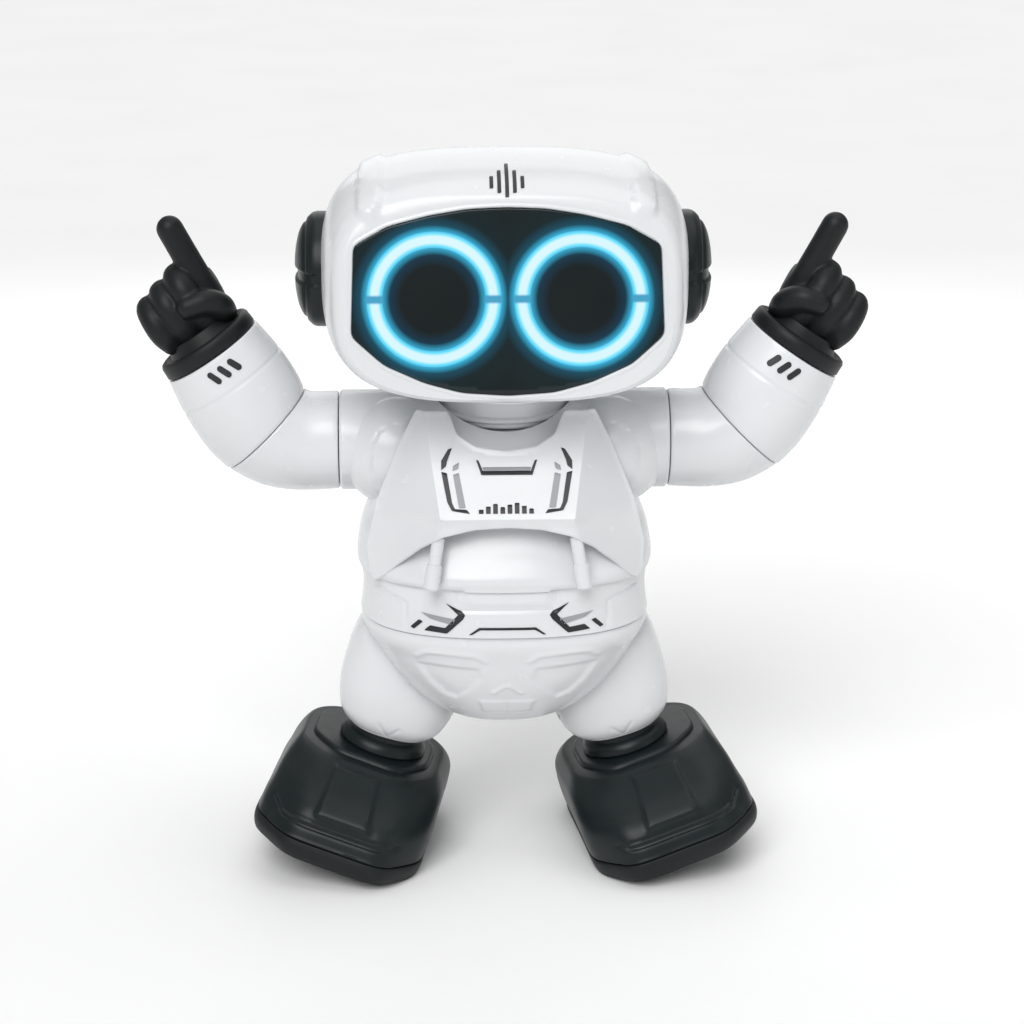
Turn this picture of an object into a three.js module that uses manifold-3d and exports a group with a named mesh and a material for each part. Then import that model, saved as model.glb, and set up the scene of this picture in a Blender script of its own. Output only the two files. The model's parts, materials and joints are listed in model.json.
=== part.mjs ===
// A dancing toy robot that stands on two boots with its arms raised, in millimetres, +Z up.
// It faces -Y. "left" and "right" are the sides seen from in front, so left is -X.
import * as THREE from "three";
import { mergeVertices } from "three/addons/utils/BufferGeometryUtils.js";
import Module from "manifold-3d";

const wasm = await Module();
wasm.setup();

// ---- Driving dimensions ----
const WALL = 2.2; // moulded shell thickness
const GAP = 0.4; // clearance between neighbouring pieces
const SEAM_Y = 2; // plane where front and rear body shells meet
const CIRCLE = 12; // facets round a small turned piece
const BODY_POINTS = 24; // points round a body section

const HEAD_HALF_WIDTH = 48.8;
const HEAD_MID_Z = 165.4;
const FACE_TILT = 12; // degrees the face leans back
const FACE_ORIGIN = [0, -38.5, 162.5];
const EYE_X = 19;
const EYE_RADIUS = 17.4;
const EYE_BAND = 4.2;
const EAR_RADIUS = 15.6;
const EAR_CENTRE = [49, 3, 163];

const NECK_RADIUS = 17.6;
const NECK_FACETS = 24;
const NECK_TOP_Z = 134;
const NECK_BOTTOM_Z = 122.6;

const WAIST_Z = 70.4; // the torso turns on this plane
const WAIST_RADIUS = 17;

const SHOULDER_Z = 115.8;
const SHOULDER_RADIUS = 13.4;
const SHOULDER_X = 45; // seam between torso and upper arm
const ELBOW = [65.1, 0, 119.2];
const ELBOW_RADIUS = 14.9;
const ELBOW_TILT = 45; // degrees of the elbow plane's normal from vertical
const FOREARM_TILT = 33.8; // degrees of the forearm from vertical
const CUFF = [79.2, 0, 141.1];
const CUFF_RADIUS = 14.4;

const LEG_Y = -4;
const HIP = [26, LEG_Y, 54]; // leg hinge, running along Y
const HIP_SWING = [-2, 12]; // degrees outwards and inwards
const HALF_LEG_DEPTH = 14;
const SLOT_HALF_DEPTH = 14.8;
const SLOT_INNER_X = 11.6;
const LEG_SPLAY = 17; // degrees of the standing leg from vertical
const ANKLE = [34.5, LEG_Y, 28];
const TOE_OUT = 7;
const SOLE_DEPTH = 24; // ankle to the underside of the sole
const SOLE_EDGE_DROP = 1.7; // sunk below the ground plane, then cut flat

const CELL = { radius: 5.2, length: 44.5, pitch: 11.6, y: 13.6, lowest: 82 };

// ---- Colours ----
const WHITE = { color: 0xf4f5f6, roughness: 0.25, metalness: 0 };
const PEARL = { color: 0xe4e6e8, roughness: 0.35, metalness: 0 };
const BLACK = { color: 0x16181a, roughness: 0.45, metalness: 0 };
const SOFT_BLACK = { color: 0x1c1e20, roughness: 0.65, metalness: 0 };
const GLOSS_BLACK = { color: 0x08090b, roughness: 0.08, metalness: 0 };
const GLOW = { color: 0x9fe6ff, roughness: 0.3, metalness: 0, emissive: 0x59c8f5 };
const BOARD = { color: 0x14663a, roughness: 0.5, metalness: 0 };
const GREY = { color: 0x6a6e72, roughness: 0.5, metalness: 0 };
const STEEL = { color: 0xb9bdc1, roughness: 0.3, metalness: 1 };
const CELL_WRAP = { color: 0x2e5fa8, roughness: 0.35, metalness: 0.2 };

const group = new THREE.Group();
group.name = "toy_robot";

// ---- Solids ----
function solid(geometry) {
  const bare = geometry.clone();
  bare.deleteAttribute("normal");
  bare.deleteAttribute("uv");
  const merged = mergeVertices(bare, 1e-4);
  const made = new wasm.Manifold(
    new wasm.Mesh({
      numProp: 3,
      vertProperties: merged.attributes.position.array,
      triVerts: new Uint32Array(merged.index.array),
    }),
  );
  return made;
}

function geometryOf(made) {
  const mesh = made.getMesh();
  const geometry = new THREE.BufferGeometry();
  geometry.setAttribute("position", new THREE.BufferAttribute(mesh.vertProperties, 3));
  geometry.setIndex(new THREE.BufferAttribute(mesh.triVerts, 1));
  const flat = geometry.toNonIndexed();
  flat.computeVertexNormals();
  return flat;
}

function put(name, made, look) {
  const mesh = new THREE.Mesh(geometryOf(made), new THREE.MeshStandardMaterial(look));
  mesh.name = name;
  group.add(mesh);
}

// Puts a piece drawn on the +X side, and its mirror image, into the group.
function putPair(name, made, look) {
  put(`${name}_left`, made.mirror([1, 0, 0]), look);
  put(`${name}_right`, made, look);
}

function moved(geometry, matrix) {
  return solid(geometry.clone().applyMatrix4(matrix));
}

function box(x0, x1, y0, y1, z0, z1) {
  const geometry = new THREE.BoxGeometry(x1 - x0, y1 - y0, z1 - z0);
  geometry.translate((x0 + x1) / 2, (y0 + y1) / 2, (z0 + z1) / 2);
  return solid(geometry);
}

function rod(from, to, radius, endRadius = radius, facets = CIRCLE) {
  const start = new THREE.Vector3(...from);
  const span = new THREE.Vector3(...to).sub(start);
  const geometry = new THREE.CylinderGeometry(endRadius, radius, span.length(), facets);
  geometry.translate(0, span.length() / 2, 0);
  const turn = new THREE.Quaternion().setFromUnitVectors(
    new THREE.Vector3(0, 1, 0),
    span.normalize(),
  );
  geometry.applyQuaternion(turn);
  geometry.translate(start.x, start.y, start.z);
  return solid(geometry);
}

function ball(centre, radius, facets = 8) {
  const geometry = new THREE.SphereGeometry(radius, facets, facets / 2);
  geometry.translate(...centre);
  return solid(geometry);
}

function finger(from, to, radius) {
  return rod(from, to, radius, radius, 8).add(ball(from, radius)).add(ball(to, radius));
}

// A closed outline in the XZ plane, extruded along Y.
function prism(outline, y0, y1) {
  const shape = new THREE.Shape(outline.map(([x, z]) => new THREE.Vector2(x, z)));
  const geometry = new THREE.ExtrudeGeometry(shape, { depth: y1 - y0, bevelEnabled: false });
  geometry.rotateX(Math.PI / 2);
  geometry.translate(0, y1, 0);
  return solid(geometry);
}

// One superellipse section: half sizes across and up, power 2 is an ellipse.
function ring({ at, across, up, width, height, power = 2, points = BODY_POINTS }) {
  const bend = (t) => Math.sign(t) * Math.abs(t) ** (2 / power);
  return Array.from({ length: points }, (_, i) => {
    const angle = (2 * Math.PI * i) / points;
    return new THREE.Vector3(...at)
      .addScaledVector(across, width * bend(Math.cos(angle)))
      .addScaledVector(up, height * bend(Math.sin(angle)));
  });
}

// Skins a row of sections that have equal numbers of points, and closes both ends.
function loft(rings) {
  const count = rings[0].length;
  const index = [];
  for (let k = 0; k + 1 < rings.length; k++) {
    for (let i = 0; i < count; i++) {
      const a = k * count + i;
      const b = k * count + ((i + 1) % count);
      index.push(a, b, b + count, a, b + count, a + count);
    }
  }
  const last = (rings.length - 1) * count;
  for (let i = 1; i + 1 < count; i++) {
    index.push(0, i + 1, i, last, last + i, last + i + 1);
  }
  const points = rings.flat();
  const inward = enclosed(points, index) < 0;
  if (inward) index.reverse();
  const geometry = new THREE.BufferGeometry().setFromPoints(points);
  geometry.setIndex(index);
  return solid(geometry);
}

function enclosed(points, index) {
  let volume = 0;
  for (let i = 0; i < index.length; i += 3) {
    const [a, b, c] = [points[index[i]], points[index[i + 1]], points[index[i + 2]]];
    volume += a.dot(b.clone().cross(c)) / 6;
  }
  return volume;
}

const X_AXIS = new THREE.Vector3(1, 0, 0);
const Y_AXIS = new THREE.Vector3(0, 1, 0);
const rad = THREE.MathUtils.degToRad;

// A direction in the XZ plane, tilted from +Z towards +X.
const leaning = (degrees) => new THREE.Vector3(Math.sin(rad(degrees)), 0, Math.cos(rad(degrees)));
const along = (from, direction, distance) =>
  new THREE.Vector3(...from).addScaledVector(direction, distance).toArray();

// ---- Head ----
// Sections from the face to the back of the head: y, mid height, half width, half height, lean.
const HEAD_SECTIONS = [
  [-38.5, 163.2, 43, 25.9, 12],
  [-33, 164.3, 46, 28.8, 10],
  [-18, 165.2, 48.4, 30.8, 5],
  [0, HEAD_MID_Z, HEAD_HALF_WIDTH, 31.1, 0],
  [16, 164.9, 47, 29.4, -4],
  [28, 164.4, 41.5, 25.4, -8],
  [35, 164.2, 31, 19, -10],
  [37.5, 164.2, 20, 12, -10],
];

function headForm(inset) {
  const rings = HEAD_SECTIONS.map(([y, z, width, height, lean], i) => {
    const shift = i === 0 ? inset : i === HEAD_SECTIONS.length - 1 ? -inset : 0;
    return ring({
      at: [0, y + shift, z],
      across: X_AXIS,
      up: new THREE.Vector3(0, Math.sin(rad(lean)), Math.cos(rad(lean))),
      width: width - inset,
      height: height - inset,
      power: 3.2,
      points: 28,
    });
  });
  return loft(rings);
}

// Outline of the face window, in the plane of the face.
const WINDOW = [
  [-39.6, 14.8],
  [-31, 19.6],
  [-20, 22.4],
  [0, 24.4],
  [20, 22.4],
  [31, 19.6],
  [39.6, 14.8],
  [40.4, -8.6],
  [32, -16],
  [21.6, -20.6],
  [12, -23.2],
  [0, -24],
  [-12, -23.2],
  [-21.6, -20.6],
  [-32, -16],
  [-40.4, -8.6],
];
// An outline with every side moved away from its middle.
function grown(outline, by) {
  const middle = outline.reduce((sum, [, z]) => sum + z, 0) / outline.length;
  return outline.map(([x, z]) => [x + by * Math.sign(x), z + by * Math.sign(z - middle)]);
}

const FACE = new THREE.Matrix4()
  .makeTranslation(...FACE_ORIGIN)
  .multiply(new THREE.Matrix4().makeRotationX(rad(-FACE_TILT)));
const onFace = (made) => moved(geometryOf(made), FACE);

function annulus(outer, inner, y0, y1, x) {
  return rod([x, y0, 0.9], [x, y1, 0.9], outer, outer, 28).subtract(
    rod([x, y0 - 1, 0.9], [x, y1 + 1, 0.9], inner, inner, 28),
  );
}

function headRibs(form) {
  const band = box(32, 37.4, -27, 40, 176, 210);
  return form.intersect(band.add(band.mirror([1, 0, 0])));
}

function headShells() {
  const outer = headForm(0).add(headRibs(headForm(-1.3)));
  const window = onFace(prism(grown(WINDOW, GAP), -10, 3.6));
  const ledge = onFace(prism(grown(WINDOW, -3), -10, 12));
  const neckBore = rod([0, 0, 120], [0, 0, 145], 9);
  const ears = rod([-60, ...EAR_CENTRE.slice(1)], [60, ...EAR_CENTRE.slice(1)], 6);
  const shell = outer
    .subtract(headForm(WALL))
    .subtract(window)
    .subtract(ledge)
    .subtract(neckBore)
    .subtract(ears);
  put("head_front_shell", shell.trimByPlane([0, -1, 0], -SEAM_Y), WHITE);
  const rear = shell.trimByPlane([0, 1, 0], SEAM_Y + 0.3);
  put("head_rear_shell", rear.subtract(speakerSlots()), WHITE);
}

// Sound slots through the back of the head.
function speakerSlots() {
  const slots = [-2, -1, 0, 1, 2].map((k) => {
    const half = 12 - 2 * Math.abs(k);
    return box(-half, half, 25, 45, 163.5 + 5 * k, 165.5 + 5 * k);
  });
  return slots.reduce((all, slot) => all.add(slot));
}

function face() {
  const grooves = [-EYE_X, EYE_X].map((x) =>
    annulus(EYE_RADIUS + 0.3, EYE_RADIUS - EYE_BAND - 0.3, -1, 2.2, x),
  );
  const plate = prism(WINDOW, 0.7, 3.3).subtract(grooves[0]).subtract(grooves[1]);
  put("visor", onFace(plate), GLOSS_BLACK);
  const light = annulus(EYE_RADIUS, EYE_RADIUS - EYE_BAND, 0.5, 1.9, EYE_X);
  putPair("eye_ring", onFace(light), GLOW);
  put("led_board", onFace(box(-34, 34, 7, 8.6, -13, 15)), BOARD);
}

function ears() {
  const [x, y, z] = EAR_CENTRE;
  const dome = new THREE.LatheGeometry(
    [
      [0, 0],
      [EAR_RADIUS, 0],
      [EAR_RADIUS, 1.2],
      [EAR_RADIUS - 1.3, 3.5],
      [EAR_RADIUS - 4.4, 5.7],
      [EAR_RADIUS - 9, 7],
      [0, 7.4],
    ].map(([r, h]) => new THREE.Vector2(r, h)),
    24,
  );
  dome.rotateZ(-Math.PI / 2);
  dome.translate(x, y, z);
  const spigot = rod([x - 5, y, z], [x + 1, y, z], 5);
  putPair("ear", solid(dome).add(spigot), BLACK);
}

function headInsides() {
  put("touch_sensor_plate", box(-9, 9, -24, -10, 187.6, 188.6), STEEL);
  const speaker = rod([0, 24, 164.5], [0, 31, 164.5], 11, 15).add(
    rod([0, 18, 164.5], [0, 24.5, 164.5], 9),
  );
  put("speaker", speaker, GREY);
}

// ---- Neck ----
function neck() {
  const turned = (z0, z1, radius) => rod([0, 0, z0], [0, 0, z1], radius, radius, NECK_FACETS);
  const collar = turned(NECK_BOTTOM_Z + 0.4, NECK_TOP_Z, NECK_RADIUS)
    .add(turned(NECK_BOTTOM_Z + 2, NECK_BOTTOM_Z + 3.4, NECK_RADIUS + 0.9))
    .subtract(rod([0, 0, 120], [0, 0, 140], 9));
  put("neck_collar", collar, WHITE);
  const flange = (z) => rod([0, 0, z], [0, 0, z + 1.8], 12);
  const post = rod([0, 0, 111.6], [0, 0, 141], 8.4)
    .add(flange(111.6))
    .add(flange(139.4))
    .subtract(rod([0, 0, 110], [0, 0, 150], 5));
  put("neck_post", post, GREY);
  const socket = rod([0, 0, 116.6], [0, 0, NECK_BOTTOM_Z], NECK_RADIUS + 1).subtract(
    rod([0, 0, 110], [0, 0, 130], 8.8),
  );
  put("neck_socket_ring", socket, PEARL);
}

// ---- Torso ----
// Sections from waist to neck: z, half width, front y, back y.
const TORSO_SECTIONS = [
  [WAIST_Z + GAP, 39.6, -38, 27],
  [78, 38.9, -36.4, 27.5],
  [83.8, 39.5, -35.4, 28],
  [84.3, 40.2, -37, 28],
  [92, 39.8, -34, 28.4],
  [100, 37.3, -30, 28.4],
  [110, 36.4, -28, 28],
  [119, 33, -23, 25],
  [126, 26, -15, 18],
  [128.4, 20, -10, 12],
];

function torsoForm(inset) {
  const last = TORSO_SECTIONS.length - 1;
  const rings = TORSO_SECTIONS.map(([z, width, front, back], i) =>
    ring({
      at: [0, (front + back) / 2, z - (i === last ? inset : 0) + (i === 0 ? inset : 0)],
      across: X_AXIS,
      up: Y_AXIS,
      width: width - inset,
      height: (back - front) / 2 - inset,
      power: 2.5,
    }),
  );
  const pods = [-1, 1].map((side) => shoulderPod(side, inset));
  const end = SHOULDER_X - GAP - inset;
  const tube = rod(
    [-end, 0, SHOULDER_Z],
    [end, 0, SHOULDER_Z],
    SHOULDER_RADIUS + 0.3 - inset,
    SHOULDER_RADIUS + 0.3 - inset,
    20,
  );
  return loft(rings).add(pods[0]).add(pods[1]).add(tube);
}

function shoulderPod(side, inset) {
  const geometry = new THREE.SphereGeometry(15.4 - inset, 16, 8);
  geometry.scale(0.95, 1, 0.95);
  geometry.translate(side * 29.5, -5, 113.8);
  return solid(geometry);
}

// The torso as one hollow shell, with its neck well, waist hole and shoulder bores.
function hollowTorso() {
  const wellRadius = NECK_RADIUS + 1.4;
  const neckWell = rod([0, 0, 116], [0, 0, 135], wellRadius, wellRadius, NECK_FACETS);
  const neckHole = rod([0, 0, 100], [0, 0, 125], 10.5);
  const floor = rod([0, -4, 60], [0, -4, 80], WAIST_RADIUS - 5);
  const pins = rod([-60, 0, SHOULDER_Z], [60, 0, SHOULDER_Z], 4.6);
  return torsoForm(0)
    .subtract(torsoForm(WALL).subtract(neckWellWall()))
    .subtract(neckWell)
    .subtract(neckHole)
    .subtract(floor)
    .subtract(pins);
}

function neckWellWall() {
  return rod([0, 0, 113.8], [0, 0, 135], NECK_RADIUS + 1.4 + WALL);
}

const DOOR = [
  [-27, 77],
  [27, 77],
  [27, 110],
  [22, 113],
  [-22, 113],
  [-27, 110],
];
const SWITCH_Z = 74.6;

function torsoShells() {
  const shell = hollowTorso();
  const front = shell.trimByPlane([0, -1, 0], -SEAM_Y);
  put("torso_front_shell", front, WHITE);
  const doorWay = prism(grown(DOOR, GAP), 16, 40);
  const switchHole = box(-5, 5, 15, 40, SWITCH_Z - 1.4, SWITCH_Z + 1.2);
  const rear = shell.trimByPlane([0, 1, 0], SEAM_Y + 0.3);
  put("torso_rear_shell", rear.subtract(doorWay).subtract(switchHole), WHITE);
  const screwHole = rod([0, 10, 80], [0, 40, 80], 1.7, 1.7, 16);
  const door = shell.intersect(prism(DOOR, 16, 40)).subtract(screwHole);
  put("battery_door", door, WHITE);
  const screw = rod([0, 19.5, 80], [0, 26.4, 80], 1.3, 1.3, 16).add(
    rod([0, 28, 80], [0, 29.2, 80], 1.4, 1.4, 16).add(rod([0, 26.3, 80], [0, 28.1, 80], 1.3)),
  );
  put("battery_door_screw", screw, STEEL);
}

// ---- Chest plate: a faceted shield over the front of the torso ----
// Sections: z, half width of the front facet, its y, half width at the sides, their y.
const SHIELD_SECTIONS = [
  [80, 25, -41, 39.8, -20.5],
  [101.4, 17.6, -37, 35.4, -22],
  [104, 18, -37.6, 34.4, -21],
  [128, 15.8, -20.5, 22.6, -17],
];
const SHIELD_OUTLINE = [
  [0, 119.6],
  [8, 120.6],
  [13, 123.4],
  [15.6, 129],
  [24, 129],
  [30, 116],
  [39.4, 96],
  [38.6, 82.8],
  [36.4, 82.8],
  [33, 84.6],
  [29, 89.2],
  [23, 94.8],
  [17.5, 98.6],
  [9, 100.6],
  [0, 101.2],
];

function shieldOutline() {
  const mirrored = SHIELD_OUTLINE.slice(1, -1).reverse();
  return SHIELD_OUTLINE.concat(mirrored.map(([x, z]) => [-x, z]));
}

function chestPlate() {
  const rings = SHIELD_SECTIONS.map(([z, inner, front, outer, side]) =>
    [
      [-outer, side],
      [-inner, front],
      [inner, front],
      [outer, side],
      [outer - 4, 0],
      [4 - outer, 0],
    ].map(([x, y]) => new THREE.Vector3(x, y, z)),
  );
  const shield = loft(rings).intersect(prism(shieldOutline(), -60, -13));
  const plate = shield.subtract(torsoForm(-0.3)).subtract(rod([0, 0, 100], [0, 0, 140], 20));
  put("chest_plate", largest(plate), WHITE);
}

// The biggest body of a cut that leaves crumbs behind.
function largest(made) {
  return made.decompose().sort((a, b) => b.volume() - a.volume())[0];
}

function bellyTubes() {
  const foot = [20.4, -38.6, 84.6];
  const head = [18.2, -34.6, 98.4];
  const middle = [19.3, -36.6, 91.5];
  const tube = rod(foot, head, 1.7, 1.7, 14).add(rod(foot, middle, 2.1, 2.1, 14));
  const shield = prism(grown(shieldOutline(), GAP), -60, 0);
  putPair("belly_tube", largest(tube.subtract(torsoForm(-0.3)).subtract(shield)), WHITE);
}

// ---- Torso insides ----
function torsoInsides() {
  const { radius, length, pitch, y, lowest } = CELL;
  const half = length / 2;
  const top = lowest + 2 * pitch + 6;
  const tray = box(-half - 2.2, half + 2.2, y - 7, y + 3, lowest - 6.6, top);
  const rows = [0, 1, 2].map((k) => lowest + k * pitch);
  const bays = rows.map((z) => rod([-half - 0.5, y, z], [half + 0.5, y, z], radius + 0.3));
  const mouths = rows.map((z) => box(-half - 0.5, half + 0.5, y, y + 9, z - 5.5, z + 5.5));
  const holder = bays.concat(mouths).reduce((body, cut) => body.subtract(cut), tray);
  put("battery_holder", holder, BLACK);
  rows.forEach((z, k) => {
    const cell = rod([-half, y, z], [half - 1.2, y, z], radius).add(
      rod([half - 1.3, y, z], [half, y, z], 1.9),
    );
    put(`battery_cell_${k + 1}`, cell, CELL_WRAP);
  });
  put("main_board", box(-24, 24, -20, -18.4, 78, 110), BOARD);
  const knob = box(-2.2, 2.2, 24.2, 29, SWITCH_Z - 1.1, SWITCH_Z + 0.9);
  put("power_switch", knob, BLACK);
}

// ---- Arms, drawn on the +X side ----
const ELBOW_AXIS = leaning(ELBOW_TILT);
const FOREARM_AXIS = leaning(FOREARM_TILT);

function armRing(at, tilt, radius) {
  const axis = leaning(tilt);
  const up = axis.clone().cross(Y_AXIS);
  return ring({ at, across: Y_AXIS, up, width: radius, height: radius, points: 20 });
}

function upperArmForm(inset) {
  const start = SHOULDER_X + GAP + inset * 0.9;
  const end = along(ELBOW, ELBOW_AXIS, -0.2 - inset);
  return loft([
    armRing([start, 0, SHOULDER_Z], 90, SHOULDER_RADIUS - inset),
    armRing([54, 0, 115.6], 76, 13.9 - inset),
    armRing([60, 0, 116.6], 60, 14.5 - inset),
    armRing(end, ELBOW_TILT, ELBOW_RADIUS - inset),
  ]);
}

function forearmForm(inset) {
  const start = along(ELBOW, ELBOW_AXIS, 0.2 + inset);
  const end = along(CUFF, FOREARM_AXIS, -inset);
  return loft([
    armRing(start, ELBOW_TILT, ELBOW_RADIUS + 0.2 - inset),
    armRing([68.6, 0, 124], 39, 15.9 - inset),
    armRing([74.35, 0, 133.2], FOREARM_TILT, 15.7 - inset),
    armRing(end, FOREARM_TILT, CUFF_RADIUS - inset),
  ]);
}

// A pin with a head at each end, held in the two walls it passes through.
function pin(centre, axis, reach, radius, headRadius) {
  const at = (d) => along(centre, axis, d);
  return rod(at(-reach), at(reach), radius)
    .add(rod(at(-reach), at(1.6 - reach), headRadius))
    .add(rod(at(reach - 1.6), at(reach), headRadius));
}

function arms() {
  const shoulderBore = rod([40, 0, SHOULDER_Z], [52, 0, SHOULDER_Z], 4.6);
  const elbowBore = rod(along(ELBOW, ELBOW_AXIS, -8), along(ELBOW, ELBOW_AXIS, 8), 4.6);
  const wristBore = rod(along(CUFF, FOREARM_AXIS, -6), along(CUFF, FOREARM_AXIS, 3), 6.4);
  const upper = upperArmForm(0).subtract(upperArmForm(WALL));
  putPair("upper_arm", upper.subtract(shoulderBore).subtract(elbowBore), WHITE);
  const fore = forearmForm(0).subtract(forearmForm(WALL));
  putPair("forearm", fore.subtract(elbowBore).subtract(wristBore), WHITE);
  const shoulderPin = pin([SHOULDER_X, 0, SHOULDER_Z], X_AXIS, 5, 4.2, 7);
  putPair("shoulder_pin", shoulderPin, GREY);
  putPair("elbow_pin", pin(ELBOW, ELBOW_AXIS, 5, 4.2, 7), GREY);
}

// ---- Hands: a fist with the first finger pointing up ----
// In the hand's own frame z runs along the forearm and x towards the little finger.
const HAND = new THREE.Matrix4()
  .makeTranslation(...CUFF)
  .multiply(new THREE.Matrix4().makeRotationY(rad(FOREARM_TILT)));

function hand() {
  const cuff = rod([0, 0, 0.4], [0, 0, 4.6], 14.2, 13).add(rod([0, 0, 4], [0, 0, 8], 12.6, 9));
  const spigot = rod([0, 0, -5], [0, 0, 1], 6);
  const palm = loft(
    [
      [5, 9, 6.5, -0.6],
      [12, 11.4, 7.5, -0.6],
      [18, 11.6, 7, -1],
      [22.6, 10, 5.5, -1.4],
    ].map(([z, width, height, x]) =>
      ring({ at: [x, 1, z], across: X_AXIS, up: Y_AXIS, width, height, power: 2.6, points: 12 }),
    ),
  );
  const curled = [-4.6, 1.4, 7].map((x, k) =>
    finger([x, -4.6, 12.6 - k * 0.4], [x + 0.2, -4.2, 21.6 - 1.3 * k], 4 - 0.2 * k),
  );
  const pointer = finger([-8.4, -1, 16], [-10.4, -1, 33.8], 3.7);
  const thumb = finger([-10.6, -5, 10.6], [-5, -8.4, 13], 4.2);
  return [cuff, spigot, palm, ...curled, pointer, thumb].reduce((all, piece) => all.add(piece));
}

// ---- Pelvis ----
// Sections of the bowl: z, half width, half depth.
const BOWL_SECTIONS = [
  [38, 5, 5],
  [39.4, 11.5, 12],
  [42.4, 18.5, 18.5],
  [47.4, 25.4, 23.8],
  [54, 31, 28.2],
  [62, 36.2, 31],
  [WAIST_Z, 39.6, 32.6],
];
const BOWL_Y = -4.8;

function bowlForm(inset) {
  const last = BOWL_SECTIONS.length - 1;
  const rings = BOWL_SECTIONS.map(([z, width, depth], i) =>
    ring({
      at: [0, BOWL_Y, z + (i === 0 ? inset : 0) - (i === last ? Math.max(inset, 0) : 0)],
      across: X_AXIS,
      up: Y_AXIS,
      width: width - inset,
      height: depth - inset,
      power: 2.6,
    }),
  );
  return loft(rings);
}

function legSlots(inset = 0) {
  const depth = SLOT_HALF_DEPTH - inset;
  const slot = box(SLOT_INNER_X + inset, 60, LEG_Y - depth, LEG_Y + depth, 20, 67.8 - inset);
  return slot.add(slot.mirror([1, 0, 0]));
}

function hipBosses() {
  const [x, , z] = HIP;
  const boss = rod([x, LEG_Y - 24, z], [x, LEG_Y + 24, z], 5);
  return boss.add(boss.mirror([1, 0, 0]));
}

function pelvis() {
  const [hx, , hz] = HIP;
  const axleBore = rod([hx, LEG_Y - 17.4, hz], [hx, LEG_Y + 17.2, hz], 2.3);
  const bores = axleBore.add(axleBore.mirror([1, 0, 0]));
  const bearing = rod([0, -4, 60], [0, -4, 80], WAIST_RADIUS - 5);
  const shell = bowlForm(0)
    .subtract(bowlForm(WALL))
    .add(hipBosses().intersect(bowlForm(1)))
    .subtract(legSlots())
    .subtract(bores)
    .subtract(bearing);
  put("pelvis_front_shell", largest(shell.trimByPlane([0, -1, 0], -SEAM_Y)), WHITE);
  put("pelvis_rear_shell", largest(shell.trimByPlane([0, 1, 0], SEAM_Y + 0.3)), WHITE);
  const axle = rod([hx, LEG_Y - 17, hz], [hx, LEG_Y + 16.8, hz], 2);
  putPair("hip_axle", axle, STEEL);
}

// The tube that joins torso and pelvis, and that the torso turns on.
function waistBearing() {
  const flange = (z) => rod([0, -4, z], [0, -4, z + 1.6], WAIST_RADIUS - 1);
  const tube = rod([0, -4, 66.2], [0, -4, 75], WAIST_RADIUS - 5.4)
    .add(flange(66.2))
    .add(flange(73.6))
    .subtract(rod([0, -4, 60], [0, -4, 80], WAIST_RADIUS - 8));
  put("waist_bearing", tube, GREY);
}

// ---- Legs ----
const LEG_AXIS = leaning(-LEG_SPLAY);

function legForm(inset) {
  const sections = [
    [5.6, 11.6, 11.4],
    [8.4, 14.4, 13.2],
    [14, 16.4, HALF_LEG_DEPTH],
    [24, 17.2, HALF_LEG_DEPTH],
    [33, 16.6, HALF_LEG_DEPTH],
    [40, 13.4, 12],
  ];
  const across = new THREE.Vector3(Math.cos(rad(LEG_SPLAY)), 0, Math.sin(rad(LEG_SPLAY)));
  const last = sections.length - 1;
  const rings = sections.map(([height, width, depth], i) =>
    ring({
      at: along(ANKLE, LEG_AXIS, height - (i === last ? inset : 0)),
      across,
      up: Y_AXIS,
      width: width - inset,
      height: depth - inset,
      power: 2.4,
      points: 20,
    }),
  );
  return loft(rings);
}

// Everything the swinging leg has to stay clear of, gathered over its whole swing.
function legKeepOut() {
  const cover = bowlForm(-0.7)
    .subtract(bowlForm(WALL + 0.5))
    .subtract(legSlots(0.5));
  const ceiling = box(0, 60, -30, 30, 67.2, 90);
  const block = cover.add(ceiling);
  const [x, , z] = HIP;
  const steps = [0, 0.25, 0.5, 0.75, 1].map(
    (t) => -(HIP_SWING[0] + t * (HIP_SWING[1] - HIP_SWING[0])),
  );
  return steps
    .map((angle) =>
      block
        .translate([-x, 0, -z])
        .rotate([0, angle, 0])
        .translate([x, 0, z]),
    )
    .reduce((all, piece) => all.add(piece));
}

function legs() {
  const [hx, , hz] = HIP;
  const reach = HALF_LEG_DEPTH - 0.4;
  const hub = rod([hx, LEG_Y - reach, hz], [hx, LEG_Y + reach, hz], 4.6);
  const bore = rod([hx, -40, hz], [hx, 40, hz], 2.3);
  const web = box(hx - 1.2, hx + 1.2, -30, 30, hz - 1, 64).intersect(legForm(1));
  const mouth = rod(along(ANKLE, LEG_AXIS, 0), along(ANKLE, LEG_AXIS, 9), 10.7);
  const gearSeat = rod([hx, DRIVE.y0 - 0.5, hz], [hx, DRIVE.y1 + 0.5, hz], 7.2);
  const gearBay = box(0, hx - 3, DRIVE.y0 - 1, DRIVE.y1 + 1, 40, 68);
  const shell = legForm(0)
    .subtract(legForm(WALL))
    .add(web)
    .subtract(gearSeat)
    .add(hub)
    .subtract(bore)
    .subtract(mouth)
    .subtract(gearBay)
    .subtract(legKeepOut());
  putPair("leg_shell", largest(shell), WHITE);
}

// ---- Feet ----
const ANKLE_FRAME = new THREE.Matrix4()
  .makeTranslation(...ANKLE)
  .multiply(new THREE.Matrix4().makeRotationY(rad(-LEG_SPLAY)));
const FOOT = ANKLE_FRAME.clone().multiply(new THREE.Matrix4().makeRotationZ(rad(TOE_OUT)));

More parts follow.
